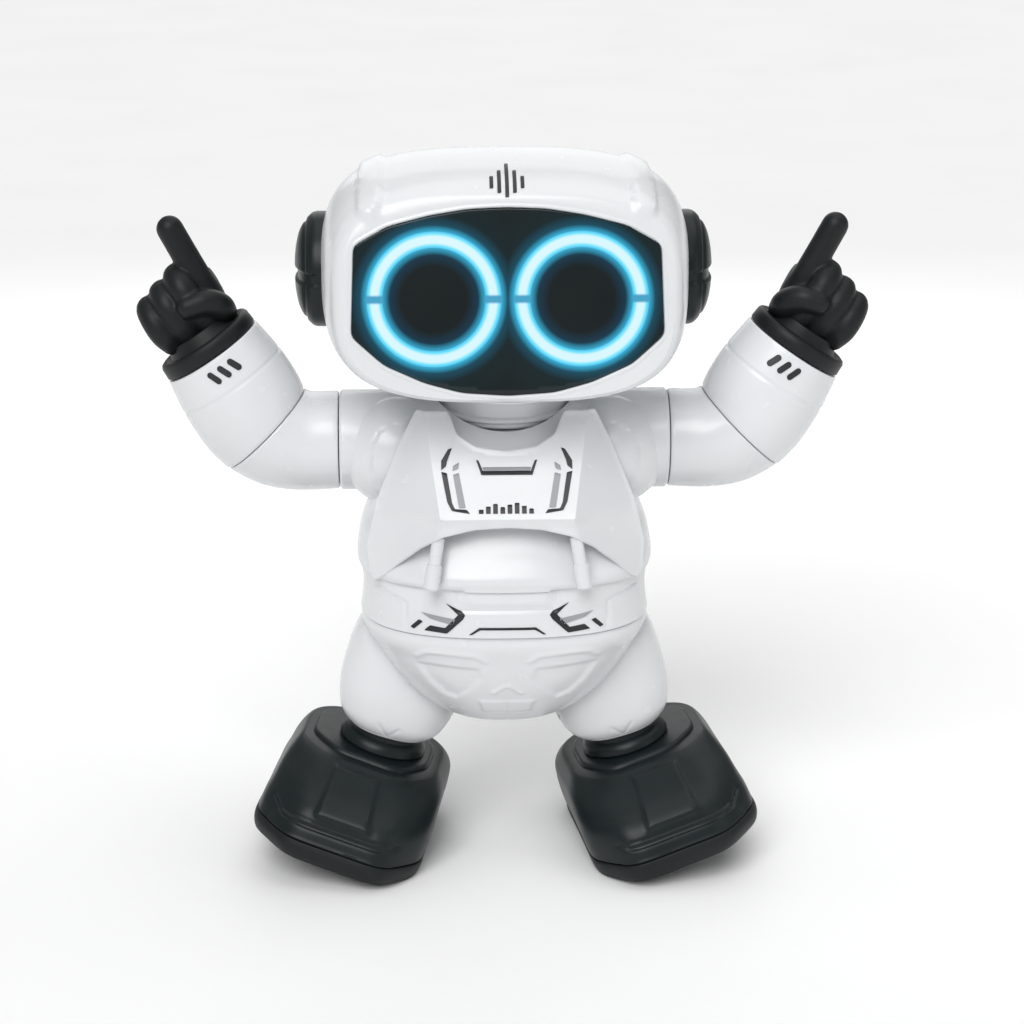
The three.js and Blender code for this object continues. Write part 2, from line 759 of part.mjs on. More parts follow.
// A boot section with cut corners; x runs from the inner to the outer side of the foot.
function bootRing(z, inner, outer, front, back, cut) {
  return [
    [inner + cut, front],
    [outer - 1.2 * cut, front + 2],
    [outer, front + 1.5 * cut],
    [outer, back - cut],
    [outer - cut, back],
    [inner + cut, back],
    [inner, back - cut],
    [inner, front + 1.4 * cut],
  ].map(([x, y]) => new THREE.Vector3(x, y, z));
}

function feet() {
  const ground = box(-20, 120, -80, 60, 0, 120);
  const sole = loft([
    bootRing(-SOLE_DEPTH - SOLE_EDGE_DROP, -19.6, 26, -39.6, 28, 9),
    bootRing(-21.4, -20.8, 27.4, -41, 29, 9),
    bootRing(-20, -20.8, 27.2, -40.6, 29, 9),
  ]);
  putPair("foot_sole", moved(geometryOf(sole), FOOT).intersect(ground), SOFT_BLACK);
  const upper = loft([
    bootRing(-19.7, -20.6, 27, -40.2, 28.8, 9),
    bootRing(-12, -21, 25.6, -37, 28, 9),
    bootRing(-5, -20.2, 23.6, -27.6, 25.6, 8),
    bootRing(0, -14.6, 19.4, -16.6, 18.6, 7),
  ]);
  const hollow = loft([
    bootRing(-21, -18.2, 24.6, -37.6, 26.4, 8),
    bootRing(-12, -18.4, 23, -34, 25.6, 8),
    bootRing(-5.6, -17, 20.6, -25, 22.8, 7),
    bootRing(-2.4, -12.4, 17, -14.6, 16.2, 6),
  ]);
  const bore = rod([0, 0, -10], [0, 0, 4], 6.4);
  putPair("foot_upper", moved(geometryOf(upper.subtract(hollow).subtract(bore)), FOOT), BLACK);
  const collar = rod([0, 0, 0.3], [0, 0, 3.4], 12.4, 11.6)
    .add(rod([0, 0, 3], [0, 0, 9.4], 10.2))
    .add(rod([0, 0, -6], [0, 0, 1], 6));
  putPair("ankle_collar", moved(geometryOf(collar), ANKLE_FRAME), BLACK);
}

// ---- Leg drive: the two legs' toothed sectors mesh on the centre line ----
const DRIVE = { radius: HIP[0], module: 2, y0: 3, y1: 7.4 };

function tooth(radius, degrees, y0, y1) {
  const foot = radius - 1.25 * DRIVE.module;
  const shape = [
    [foot - 1, -1.5],
    [radius, -1.05],
    [radius + 1.6, -0.55],
    [radius + 1.6, 0.55],
    [radius, 1.05],
    [foot - 1, 1.5],
  ];
  const turn = new THREE.Matrix4().makeRotationY(rad(-degrees));
  return moved(geometryOf(prism(shape, y0, y1)), turn);
}

// A toothed sector that points at the centre line. teeth are counted in pitches below it.
function sector(teeth) {
  const { radius, y0, y1 } = DRIVE;
  const [hx, , hz] = HIP;
  const pitch = 360 / 26;
  const hub = rod([0, y0, 0], [0, y1, 0], 6.6);
  const foot = radius - 1.25 * DRIVE.module;
  const rim = rod([0, y0, 0], [0, y1, 0], foot, foot, 32).intersect(
    prism(
      [
        [0, -4],
        [0, 4],
        [-40, 5],
        [-40, -14],
      ],
      y0 - 1,
      y1 + 1,
    ),
  );
  const bore = rod([0, y0 - 5, 0], [0, y1 + 5, 0], 4.9);
  const body = hub.add(rim);
  return teeth
    .map((k) => tooth(radius, 180 + k * pitch, y0, y1))
    .reduce((all, one) => all.add(one), body)
    .subtract(bore)
    .translate([hx, 0, hz]);
}

function legDrive() {
  put("leg_gear_right", sector([0, 1]), GREY);
  put("leg_gear_left", sector([-0.5, 0.5, 1.5]).mirror([1, 0, 0]), GREY);
  const can = box(-8.6, 8.6, -18, 0.4, 51, 65.4).add(rod([0, 0.3, 62], [0, 2.4, 62], 3));
  put("leg_motor", can, STEEL);
}

headShells();
face();
ears();
headInsides();
neck();
torsoShells();
chestPlate();
bellyTubes();
torsoInsides();
arms();
putPair("hand", moved(geometryOf(hand()), HAND), SOFT_BLACK);
pelvis();
waistBearing();
legs();
feet();
legDrive();

// The origin lies on the ground, under the middle of the robot's box.
const bounds = new THREE.Box3().setFromObject(group);
group.position.y = -(bounds.min.y + bounds.max.y) / 2;

export default group;
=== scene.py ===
"""A walking toy robot: smooth moulded shells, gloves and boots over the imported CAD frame.

Shapes are drawn in the part's own millimetres, +Z up, with the face towards -Y, and "left" is the
side at -X. in_frame() moves them into the frame. Sided pieces are drawn at +X and mirrored.
"""

import json
import math

import bmesh
import bpy
import numpy as np
from mathutils import Matrix, Vector, geometry
from mathutils.bvhtree import BVHTree


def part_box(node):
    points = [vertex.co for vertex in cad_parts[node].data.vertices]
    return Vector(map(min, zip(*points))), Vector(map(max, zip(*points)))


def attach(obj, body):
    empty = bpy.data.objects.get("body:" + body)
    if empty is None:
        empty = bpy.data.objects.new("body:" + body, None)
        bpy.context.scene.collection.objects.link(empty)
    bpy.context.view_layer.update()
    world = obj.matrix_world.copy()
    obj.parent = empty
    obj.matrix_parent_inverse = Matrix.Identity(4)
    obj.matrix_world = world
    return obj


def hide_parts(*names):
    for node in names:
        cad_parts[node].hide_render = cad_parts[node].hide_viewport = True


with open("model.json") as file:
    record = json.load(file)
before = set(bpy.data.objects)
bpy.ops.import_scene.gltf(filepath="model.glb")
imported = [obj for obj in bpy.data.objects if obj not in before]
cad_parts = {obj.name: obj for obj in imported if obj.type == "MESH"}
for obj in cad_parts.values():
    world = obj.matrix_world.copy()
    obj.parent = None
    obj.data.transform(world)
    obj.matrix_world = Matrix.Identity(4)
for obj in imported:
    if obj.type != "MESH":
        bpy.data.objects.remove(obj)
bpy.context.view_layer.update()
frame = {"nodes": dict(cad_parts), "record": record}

# ---- Dimensions shared with the CAD part ----
SEAM_Y = 2
SEAM_GAP = 0.3
WALL = 2.2
FACE_TILT = 12
FACE_ORIGIN = (0, -38.5, 162.5)
EYE_X = 19
EYE_UP = 0.9
EYE_RADIUS = 17.4
EYE_BAND = 4.2
EAR_CENTRE = (49, 3, 163)
NECK_RADIUS = 17.6
SHOULDER_Z = 115.8
SHOULDER_RADIUS = 13.4
SHOULDER_X = 45
ELBOW = (65.1, 0, 119.2)
ELBOW_TILT = 45
FOREARM_TILT = 33.8
CUFF = (79.2, 0, 141.1)
CUFF_RADIUS = 14.4
LEG_Y = -4
HIP = (26, LEG_Y, 54)
LEG_SPLAY = 17
ANKLE = (34.5, LEG_Y, 28)
TOE_OUT = 7
BOWL_Y = -4.8

AROUND = 300  # points round a large section
SIDES = {"left": -1, "right": 1}

# The CAD part is drawn about the neck and then shifted along Y to centre its box.
EAR_LOW, EAR_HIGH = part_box("ear_left")
SHIFT_Y = (EAR_LOW.y + EAR_HIGH.y) * 500 - EAR_CENTRE[1]


def in_frame(points):
    """Points in part millimetres, as frame metres."""
    return (np.asarray(points, float) + (0, SHIFT_Y, 0)) * 0.001


def in_part(points):
    """Points in frame metres, as part millimetres."""
    return np.asarray(points, float) * 1000 - (0, SHIFT_Y, 0)


# ---- Curves and sections ----
def spline(rows, step):
    """Rows of numbers along a smooth curve through the given rows, about one step apart."""
    rows = np.asarray(rows, float)
    gaps = np.linalg.norm(np.diff(rows, axis=0), axis=1)
    slopes = np.diff(rows, axis=0) / gaps[:, None]
    before, after = gaps[:-1, None], gaps[1:, None]
    inner = (after * slopes[:-1] + before * slopes[1:]) / (before + after)
    tangents = np.vstack([slopes[:1], inner, slopes[-1:]])
    spans = []
    for k, gap in enumerate(gaps):
        t = np.linspace(0, 1, max(1, round(gap / step)) + 1)[:-1, None]
        spans.append(
            (2 * t**3 - 3 * t**2 + 1) * rows[k]
            + (t**3 - 2 * t**2 + t) * gap * tangents[k]
            + (3 * t**2 - 2 * t**3) * rows[k + 1]
            + (t**3 - t**2) * gap * tangents[k + 1]
        )
    return np.vstack(spans + [rows[-1:]])


def turns(count):
    return np.linspace(0, 2 * np.pi, count, endpoint=False)


def round_unit(power, count=AROUND):
    """Points of a superellipse with half sizes of 1. Power 2 is a circle."""
    c, s = np.cos(turns(count)), np.sin(turns(count))
    size = (np.abs(c) ** power + np.abs(s) ** power) ** (-1 / power)
    return c * size, s * size


def reach_of(outline, angles, soften=0):
    """Distance from the origin to a closed outline in each direction, corners softened."""
    start = np.asarray(outline, float)
    edge = np.roll(start, -1, axis=0) - start
    c, s = np.cos(angles)[:, None], np.sin(angles)[:, None]
    turn = c * edge[:, 1] - s * edge[:, 0]
    turn = np.where(np.abs(turn) < 1e-9, 1e-9, turn)
    distance = (start[:, 0] * edge[:, 1] - start[:, 1] * edge[:, 0]) / turn
    share = (start[:, 0] * s - start[:, 1] * c) / turn
    hit = (distance > 0) & (share > -1e-6) & (share < 1 + 1e-6)
    reach = np.where(hit, distance, np.inf).min(axis=1)
    for _ in range(soften):
        reach = (np.roll(reach, 1) + reach + np.roll(reach, -1)) / 3
    return reach


def section(at, across, up, width, height, power, count=AROUND):
    c, s = round_unit(power, count)
    return np.asarray(at) + np.outer(width * c, across) + np.outer(height * s, up)


def rounded_end(rings, radius):
    """The rings with the edge of their last one rounded over."""
    last = np.asarray(rings[-1])
    middle = last.mean(axis=0)
    along = middle - np.asarray(rings[-2]).mean(axis=0)
    along /= np.linalg.norm(along)
    reach = np.linalg.norm(last - middle, axis=1, keepdims=True)
    kept = [r for r in rings[:-1] if (middle - np.mean(r, axis=0)) @ along > radius + 0.05]
    for angle in np.linspace(0, math.pi / 2, 6):
        inward = radius * (1 - math.cos(angle))
        back = radius * (1 - math.sin(angle))
        kept.append(middle + (last - middle) * (1 - inward / reach) - along * back)
    return kept


def rounded_ends(rings, radius, end_radius=None):
    tail = rounded_end(list(rings), radius if end_radius is None else end_radius)
    return rounded_end(tail[::-1], radius)[::-1]


def leaning(degrees):
    """A direction in the XZ plane, tilted from +Z towards +X."""
    return np.array([math.sin(math.radians(degrees)), 0, math.cos(math.radians(degrees))])


def smooth_step(value):
    value = np.clip(value, 0, 1)
    return value * value * (3 - 2 * value)


# ---- Meshes ----
def mesh_piece(name, points, faces):
    mesh = bpy.data.meshes.new(name)
    mesh.from_pydata(in_frame(points).tolist(), [], faces)
    piece = bpy.data.objects.new(name, mesh)
    bpy.context.collection.objects.link(piece)
    face_outwards(piece)
    return piece


def face_outwards(piece):
    bm = bmesh.new()
    bm.from_mesh(piece.data)
    bmesh.ops.recalc_face_normals(bm, faces=bm.faces)
    bm.to_mesh(piece.data)
    bm.free()


def skin(name, rings, closed=(True, True)):
    """A surface over a row of rings that have equal numbers of points."""
    rings = np.asarray(rings)
    rows, count = rings.shape[:2]
    faces = []
    for k in range(rows - 1):
        here, above = k * count, (k + 1) * count
        for i in range(count):
            j = (i + 1) % count
            faces.append((here + i, here + j, above + j, above + i))
    if closed[0]:
        faces.append(tuple(range(count))[::-1])
    if closed[1]:
        faces.append(tuple(range((rows - 1) * count, rows * count)))
    return mesh_piece(name, rings.reshape(-1, 3), faces)


def turned(name, profile, start, axis, count=96, step=0.8, smooth=True):
    """A turned piece: the profile is (radius, distance along the axis from start)."""
    axis = Vector(axis).normalized()
    across = np.array(axis.orthogonal().normalized())
    up = np.cross(axis, across)
    rows = spline(profile, step) if smooth else np.asarray(profile, float)
    rings = [
        section(np.array(start) + np.array(axis) * h, across, up, max(r, 0.01), max(r, 0.01), 2, count)
        for r, h in rows
    ]
    return skin(name, rings)


def block(name, low, high):
    """A plain tool for cutting, never shown."""
    points = [(x, y, z) for x in (low[0], high[0]) for y in (low[1], high[1]) for z in (low[2], high[2])]
    faces = [(0, 1, 3, 2), (4, 6, 7, 5), (0, 4, 5, 1), (2, 3, 7, 6), (0, 2, 6, 4), (1, 5, 7, 3)]
    return mesh_piece(name, points, faces)


def finish_modifiers(piece):
    graph = bpy.context.evaluated_depsgraph_get()
    made = bpy.data.meshes.new_from_object(piece.evaluated_get(graph))
    piece.modifiers.clear()
    piece.data = made
    return piece


def combine(piece, tool, operation):
    """Adds a tool to a piece (UNION) or cuts with it (DIFFERENCE, INTERSECT), and drops the tool."""
    change = piece.modifiers.new("combine", "BOOLEAN")
    change.operation = operation
    change.object = tool
    change.solver = "EXACT"
    finish_modifiers(piece)
    bpy.data.objects.remove(tool)
    return piece


def hollow(piece, thickness):
    """Gives an open surface a wall, inwards."""
    wall = piece.modifiers.new("wall", "SOLIDIFY")
    wall.thickness = thickness * 0.001
    wall.offset = -1
    return finish_modifiers(piece)


def half(piece, name, side):
    """A copy of what lies in front of (-1) or behind (1) the seam plane."""
    copy = bpy.data.objects.new(name, piece.data.copy())
    bpy.context.collection.objects.link(copy)
    y = SEAM_Y if side < 0 else SEAM_Y + SEAM_GAP
    bm = bmesh.new()
    bm.from_mesh(copy.data)
    bmesh.ops.bisect_plane(
        bm,
        geom=list(bm.verts) + list(bm.edges) + list(bm.faces),
        plane_co=Vector(in_frame((0, y, 0))),
        plane_no=(0, side, 0),
        clear_inner=True,
    )
    bm.to_mesh(copy.data)
    bm.free()
    return copy


def mirrored(piece, name):
    copy = bpy.data.objects.new(name, piece.data.copy())
    bpy.context.collection.objects.link(copy)
    copy.data.transform(Matrix.Diagonal((-1, 1, 1, 1)))
    copy.data.flip_normals()
    return copy


def emboss(piece, height):
    """Raises each vertex by height(x, y, z), in part millimetres, along its normal."""
    mesh = piece.data
    points = np.array([v.co for v in mesh.vertices])
    normals = np.array([v.normal for v in mesh.vertices])
    x, y, z = in_part(points).T
    points += normals * height(x, y, z)[:, None] * 0.001
    mesh.vertices.foreach_set("co", points.ravel())
    mesh.update()
    return piece


def far_from(path, u, v):
    """Distance from each (u, v) to a path of straight lines."""
    nearest = np.full(u.shape, np.inf)
    for (u0, v0), (u1, v1) in zip(path, path[1:]):
        du, dv = u1 - u0, v1 - v0
        share = ((u - u0) * du + (v - v0) * dv) / max(du * du + dv * dv, 1e-9)
        share = np.clip(share, 0, 1)
        nearest = np.minimum(nearest, np.hypot(u - u0 - share * du, v - v0 - share * dv))
    return nearest


def line(path, width, u, v, soft=0.5):
    """1 on a path of that width, falling smoothly to 0 beside it."""
    return smooth_step((width / 2 + soft - far_from(path, u, v)) / soft)


def area(outline, u, v, soft=0.6):
    """1 inside a closed outline, falling smoothly to 0 at its edge."""
    inside = np.zeros(u.shape, bool)
    corners = list(outline) + [outline[0]]
    for (u0, v0), (u1, v1) in zip(corners, corners[1:]):
        crosses = (v0 > v) != (v1 > v)
        at = u0 + (v - v0) * (u1 - u0) / (v1 - v0 if v1 != v0 else 1e-9)
        inside ^= crosses & (u < at)
    depth = np.where(inside, 1, -1) * far_from(corners, u, v)
    return smooth_step((depth + soft / 2) / soft)


# ---- Plates, labels and prints that follow a surface ----
def resampled(outline, spacing, soften=0):
    """A closed outline with points evenly spaced, its corners softened."""
    corners = np.array(list(outline) + [outline[0]], float)
    lengths = np.r_[0, np.cumsum(np.linalg.norm(np.diff(corners, axis=0), axis=1))]
    count = max(8, int(lengths[-1] / spacing))
    at = np.linspace(0, lengths[-1], count, endpoint=False)
    loop = np.stack([np.interp(at, lengths, corners[:, k]) for k in (0, 1)], axis=1)
    for _ in range(soften):
        loop = (np.roll(loop, 1, axis=0) + 2 * loop + np.roll(loop, -1, axis=0)) / 4
    turning = np.roll(loop, -1, axis=0)
    clockwise = (loop[:, 0] * turning[:, 1] - loop[:, 1] * turning[:, 0]).sum() < 0
    return loop[::-1] if clockwise else loop


def inset(loop, distance):
    ahead = np.roll(loop, -1, axis=0) - np.roll(loop, 1, axis=0)
    ahead /= np.linalg.norm(ahead, axis=1, keepdims=True)
    return loop + distance * np.stack([-ahead[:, 1], ahead[:, 0]], axis=1)


def filled(loop, spacing, creases=()):
    """Points and triangles that fill a closed loop, with extra points along the creases."""
    low, high = loop.min(axis=0), loop.max(axis=0)
    grid = np.stack(np.meshgrid(*[np.arange(a, b, spacing) for a, b in zip(low, high)]), -1)
    grid = grid.reshape(-1, 2)
    u, v = grid.T
    keep = (area(loop, u, v, 0.01) > 0.5) & (far_from(np.vstack([loop, loop[:1]]), u, v) > 0.6 * spacing)
    folds = np.zeros((0, 2))
    for crease in creases:
        keep &= far_from(crease, u, v) > 0.6 * spacing
        along = np.linspace(0, 1, int(np.linalg.norm(np.subtract(*crease)) / spacing) + 2)[:, None]
        folds = np.vstack([folds, np.array(crease[0]) * (1 - along) + np.array(crease[1]) * along])
    if len(folds):
        inside = area(loop, *folds.T, 0.01) > 0.5
        clear = far_from(np.vstack([loop, loop[:1]]), *folds.T) > 0.3 * spacing
        folds = folds[inside & clear]
    points = [Vector(p) for p in np.vstack([loop, folds, grid[keep]])]
    edges = [(i, (i + 1) % len(loop)) for i in range(len(loop))]
    made = geometry.delaunay_2d_cdt(points, edges, [], 1, 1e-6)
    return np.array(made[0]), [tuple(f) for f in made[2]]


def plate(name, outline, depth_of, thickness, edge=0, spacing=1.2, step=0.7, soften=1, creases=()):
    """A plate whose front follows depth_of(x, z), with its front edge rounded over."""
    loop = resampled(outline, step, soften)
    rim = [(edge * (1 - math.cos(a)), edge * (1 - math.sin(a))) for a in np.linspace(0, math.pi / 2, 5)]
    inner = inset(loop, edge) if edge else loop
    flat, triangles = filled(inner, spacing, creases)
    count = len(loop)
    face_y = depth_of(*flat.T)
    front = np.stack([flat[:, 0], face_y, flat[:, 1]], axis=1)
    back = front + (0, thickness, 0)
    points = [front, back]
    faces = triangles + [tuple(i + len(front) for i in f[::-1]) for f in triangles]
    # The loop's own points come first in the filled plate, so the rim is stitched to those.
    base = 2 * len(front)
    bands = [list(range(count))]
    for inward, sunk in (reversed(rim[:-1]) if edge else []):
        ring = inset(loop, inward)
        points.append(np.stack([ring[:, 0], face_y[:count] + sunk, ring[:, 1]], axis=1))
        bands.append(list(range(base, base + count)))
        base += count
    bands.append(list(range(len(front), len(front) + count)))
    for near, far in zip(bands, bands[1:]):
        for i in range(count):
            j = (i + 1) % count
            faces.append((near[i], far[i], far[j], near[j]))
    return mesh_piece(name, np.vstack(points), faces)


def depth_on(piece, side=-1, lift=0.05):
    """depth_of for a plate that lies on a piece, met from the front (-1) or the back (1)."""
    tree = BVHTree.FromObject(piece, bpy.context.evaluated_depsgraph_get())

    def depth_of(x, z):
        found = []
        for start in in_frame(np.stack([x, np.full(x.shape, side * 90.0), z], axis=1)):
            hit = tree.ray_cast(Vector(start), Vector((0, -side, 0)))[0]
            found.append(in_part(hit)[1] if hit else np.nan)
        found = np.array(found)
        if np.isnan(found).any():
            found = np.where(np.isnan(found), np.nanmean(found), found)
        return found + side * lift

    return depth_of


def print_on(piece, name, outlines, look, body, slot):
    """Thin printed shapes on the front of a piece, joined into one."""
    depth_of = depth_on(piece, lift=0.18)
    shapes = [
        plate(f"{name}_{k}", outline, depth_of, 0.2, spacing=0.6, step=0.4, soften=0)
        for k, outline in enumerate(outlines)
    ]
    return show(join(shapes, name), look, body, slot, sharp=60)


def join(pieces, name):
    """One object from several."""
    bm = bmesh.new()
    for piece in pieces:
        bm.from_mesh(piece.data)
        bpy.data.objects.remove(piece)
    mesh = bpy.data.meshes.new(name)
    bm.to_mesh(mesh)
    bm.free()
    whole = bpy.data.objects.new(name, mesh)
    bpy.context.collection.objects.link(whole)
    return whole


def both_sides(outline):
    """An outline at +X and its mirror image."""
    return [outline, [(-x, z) for x, z in outline]]


def show(piece, look, body, slot, *nodes, sharp=32):
    """Gives a piece its material, smooth shading and body, and hides the CAD nodes it stands for."""
    mesh = piece.data
    mesh.materials.clear()
    mesh.materials.append(look)
    bm = bmesh.new()
    bm.from_mesh(mesh)
    for face in bm.faces:
        face.smooth = True
        face.material_index = 0
    for edge in bm.edges:
        edge.smooth = len(edge.link_faces) == 2 and edge.calc_face_angle(0) < math.radians(sharp)
    bm.to_mesh(mesh)
    bm.free()
    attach(piece, body)
    if nodes:
        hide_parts(*nodes)
    return piece


def show_pair(piece, base, look, body, slot, sharp=32):
    """Shows a piece drawn at +X, and its mirror image. body may hold {side}."""
    other = mirrored(piece, base + "_left_shape")
    for side, one in (("right", piece), ("left", other)):
        one.name = f"{base}_{side}_shape"
        show(one, look, body.format(side=side), slot, f"{base}_{side}", sharp=sharp)
    return other, piece


def placed(piece, matrix):
    """Moves a piece's mesh by a matrix given in part millimetres."""
    to_frame = Matrix.Scale(0.001, 4) @ Matrix.Translation((0, SHIFT_Y, 0))
    piece.data.transform(to_frame @ matrix @ to_frame.inverted())
    return piece


def turn_y(degrees):
    return Matrix.Rotation(math.radians(degrees), 4, "Y")


# ---- Materials ----
def node(tree, kind, inputs=None, **settings):
    made = tree.nodes.new("ShaderNode" + kind)
    for key, value in settings.items():
        setattr(made, key, value)
    for key, value in (inputs or {}).items():
        if isinstance(value, bpy.types.NodeSocket):
            tree.links.new(value, made.inputs[key])
        else:
            made.inputs[key].default_value = value
    return made


def new_look(name):
    look = bpy.data.materials.new(name)
    look.use_nodes = True
    tree = look.node_tree
    return look, tree, tree.nodes["Principled BSDF"], node(tree, "TexCoord").outputs["Object"]


def shaded(tree, low, high, share):
    """A colour between two, by a 0 to 1 share."""
    ramp = node(tree, "ValToRGB", {"Fac": share})
    ramp.color_ramp.elements[0].color = (*low, 1)
    ramp.color_ramp.elements[1].color = (*high, 1)
    ramp.color_ramp.elements[0].position = 0.3
    ramp.color_ramp.elements[1].position = 0.7
    return ramp.outputs["Color"]


def plastic(
    name, low, high, roughness, grain=0.00002, grain_scale=1800, coat=0.0, metal=0.0, shine=0.5
):
    """Moulded plastic: slight clouding, uneven gloss and a fine grain."""
    look, tree, shader, place = new_look(name)
    cloud = node(tree, "TexNoise", {"Vector": place, "Scale": 45.0, "Detail": 3.0})
    tree.links.new(shaded(tree, low, high, cloud.outputs["Fac"]), shader.inputs["Base Color"])
    smear = node(tree, "TexNoise", {"Vector": place, "Scale": 160.0, "Detail": 4.0})
    gloss = node(tree, "MapRange", {"Value": smear.outputs["Fac"], "From Min": 0.3, "From Max": 0.7})
    gloss.inputs["To Min"].default_value = roughness * 0.94
    gloss.inputs["To Max"].default_value = roughness * 1.06
    tree.links.new(gloss.outputs["Result"], shader.inputs["Roughness"])
    fine = node(tree, "TexNoise", {"Vector": place, "Scale": grain_scale, "Detail": 2.0})
    bump = node(tree, "Bump", {"Height": fine.outputs["Fac"], "Strength": 0.35, "Distance": grain})
    tree.links.new(bump.outputs["Normal"], shader.inputs["Normal"])
    shader.inputs["Coat Weight"].default_value = coat
    shader.inputs["Coat Roughness"].default_value = 0.12
    shader.inputs["Metallic"].default_value = metal
    shader.inputs["Specular IOR Level"].default_value = shine
    return look


def eye_distance(tree, place):
    """Distance from the nearer eye's centre, in metres."""
    spots = []
    for side in (-1, 1):
        centre = in_frame(face_points(side * EYE_X, EYE_UP, 0))
        spot = node(tree, "VectorMath", {0: place, 1: tuple(centre)}, operation="DISTANCE")
        spots.append(spot.outputs["Value"])
    return node(tree, "Math", {0: spots[0], 1: spots[1]}, operation="MINIMUM").outputs["Value"]


def radial_glow(tree, distance, reach, stops):
    """Colours by distance in millimetres from the eye's centre."""
    share = node(tree, "MapRange", {"Value": distance, "From Max": reach * 0.001})
    ramp = node(tree, "ValToRGB", {"Fac": share.outputs["Result"]})
    elements = ramp.color_ramp.elements
    for k, (radius, colour) in enumerate(stops):
        element = elements[k] if k < 2 else elements.new(radius / reach)
        element.position = radius / reach
        element.color = (*colour, 1)
    return ramp.outputs["Color"]


def visor_look():
    """Gloss black with a painted glow: emission in the blue light that the lit rings throw on it."""
    look, tree, shader, place = new_look("visor_gloss_painted_glow")
    # Painted glow: the visor itself emits cyan in a band round each eye ring, and faintly all over.
    painted_ring_glow = radial_glow(
        tree,
        eye_distance(tree, place),
        30,
        [
            (0, (0.003, 0.005, 0.005)),
            (30, (0.004, 0.006, 0.007)),
            (8.5, (0.003, 0.006, 0.007)),
            (11.4, (0.002, 0.03, 0.06)),
            (13.1, (0.03, 0.36, 0.56)),
            (17.5, (0.03, 0.38, 0.6)),
            (19.0, (0.004, 0.06, 0.1)),
            (21.5, (0.003, 0.012, 0.016)),
        ],
    )
    tree.links.new(painted_ring_glow, shader.inputs["Emission Color"])
    shader.inputs["Emission Strength"].default_value = 1.0
    cloud = node(tree, "TexNoise", {"Vector": place, "Scale": 60.0})
    tint = shaded(tree, (0.005, 0.007, 0.007), (0.007, 0.009, 0.009), cloud.outputs["Fac"])
    tree.links.new(tint, shader.inputs["Base Color"])
    smear = node(tree, "MapRange", {"Value": cloud.outputs["Fac"], "To Min": 0.05, "To Max": 0.12})
    tree.links.new(smear.outputs["Result"], shader.inputs["Roughness"])
    shader.inputs["Specular IOR Level"].default_value = 0.3
    return look


def ring_look():
    """A light guide: white in the middle of the band, cyan at its edges, dim at its two joints."""
    look, tree, shader, place = new_look("eye_glow")
    middle = EYE_RADIUS - EYE_BAND / 2
    glow = radial_glow(
        tree,
        eye_distance(tree, place),
        30,
        [
            (middle - 2.3, (0.03, 0.38, 0.62)),
            (middle + 2.3, (0.03, 0.38, 0.62)),
            (middle - 1.5, (0.12, 0.72, 1.0)),
            (middle - 0.8, (0.66, 0.86, 1.0)),
            (middle + 0.8, (0.66, 0.86, 1.0)),
            (middle + 1.5, (0.12, 0.72, 1.0)),
        ],
    )
    centre = in_frame(face_points(0, EYE_UP, 0))
    upward = in_frame(face_points(0, EYE_UP + 1000, 0)) - centre
    offset = node(tree, "VectorMath", {0: place, 1: tuple(centre)}, operation="SUBTRACT")
    height = node(
        tree, "VectorMath", {0: offset.outputs["Vector"], 1: tuple(upward)}, operation="DOT_PRODUCT"
    )
    away = node(tree, "Math", {0: height.outputs["Value"]}, operation="ABSOLUTE")
    lit = node(tree, "MapRange", {"Value": away.outputs["Value"]}, interpolation_type="SMOOTHSTEP")
    lit.inputs["From Min"].default_value = 0.0006
    lit.inputs["From Max"].default_value = 0.0014
    mix = node(tree, "Mix", {0: lit.outputs["Result"], 7: glow}, data_type="RGBA")
    mix.inputs[6].default_value = (0.03, 0.3, 0.5, 1)
    tree.links.new(mix.outputs[2], shader.inputs["Emission Color"])
    shader.inputs["Emission Strength"].default_value = 1.0
    shader.inputs["Base Color"].default_value = (0.02, 0.05, 0.06, 1)
    shader.inputs["Roughness"].default_value = 0.3
    return look


def board_look():
    """A circuit board: green resist over copper tracks and pads."""
    look, tree, shader, place = new_look("circuit_board")
    tracks = node(tree, "TexBrick", {"Vector": place, "Scale": 260.0, "Mortar Size": 0.03})
    tracks.inputs["Color1"].default_value = (0.01, 0.12, 0.05, 1)
    tracks.inputs["Color2"].default_value = (0.012, 0.15, 0.06, 1)
    tracks.inputs["Mortar"].default_value = (0.05, 0.3, 0.12, 1)
    tree.links.new(tracks.outputs["Color"], shader.inputs["Base Color"])
    shader.inputs["Roughness"].default_value = 0.35
    return look


WHITE = plastic("white_abs", (0.71, 0.725, 0.74), (0.73, 0.745, 0.76), 0.26, coat=0.12)
PEARL = plastic("grey_abs", (0.42, 0.44, 0.46), (0.48, 0.5, 0.52), 0.34)
DULL = 0.25  # specular level of the dark pieces
BLACK = plastic(
    "black_satin", (0.007, 0.011, 0.012), (0.011, 0.016, 0.017), 0.36, 0.00003, 2600, shine=DULL
)
SOFT_BLACK = plastic(
    "black_rubber", (0.008, 0.009, 0.010), (0.012, 0.013, 0.014), 0.46, 0.00003, 2200, shine=DULL
)
SOLE = plastic(
    "black_sole", (0.008, 0.010, 0.011), (0.012, 0.015, 0.016), 0.5, 0.00004, 2200, shine=DULL
)
INK = plastic("ink_black", (0.012, 0.013, 0.015), (0.018, 0.019, 0.021), 0.4)
INK_GREY = plastic("ink_grey", (0.30, 0.31, 0.33), (0.34, 0.35, 0.37), 0.4)
GREY = plastic("inner_grey_plastic", (0.13, 0.14, 0.15), (0.17, 0.18, 0.19), 0.45)
STEEL = plastic("bright_steel", (0.5, 0.51, 0.52), (0.62, 0.63, 0.64), 0.28, metal=1.0)
CELL = plastic("cell_wrap_blue", (0.02, 0.07, 0.25), (0.03, 0.10, 0.32), 0.3)


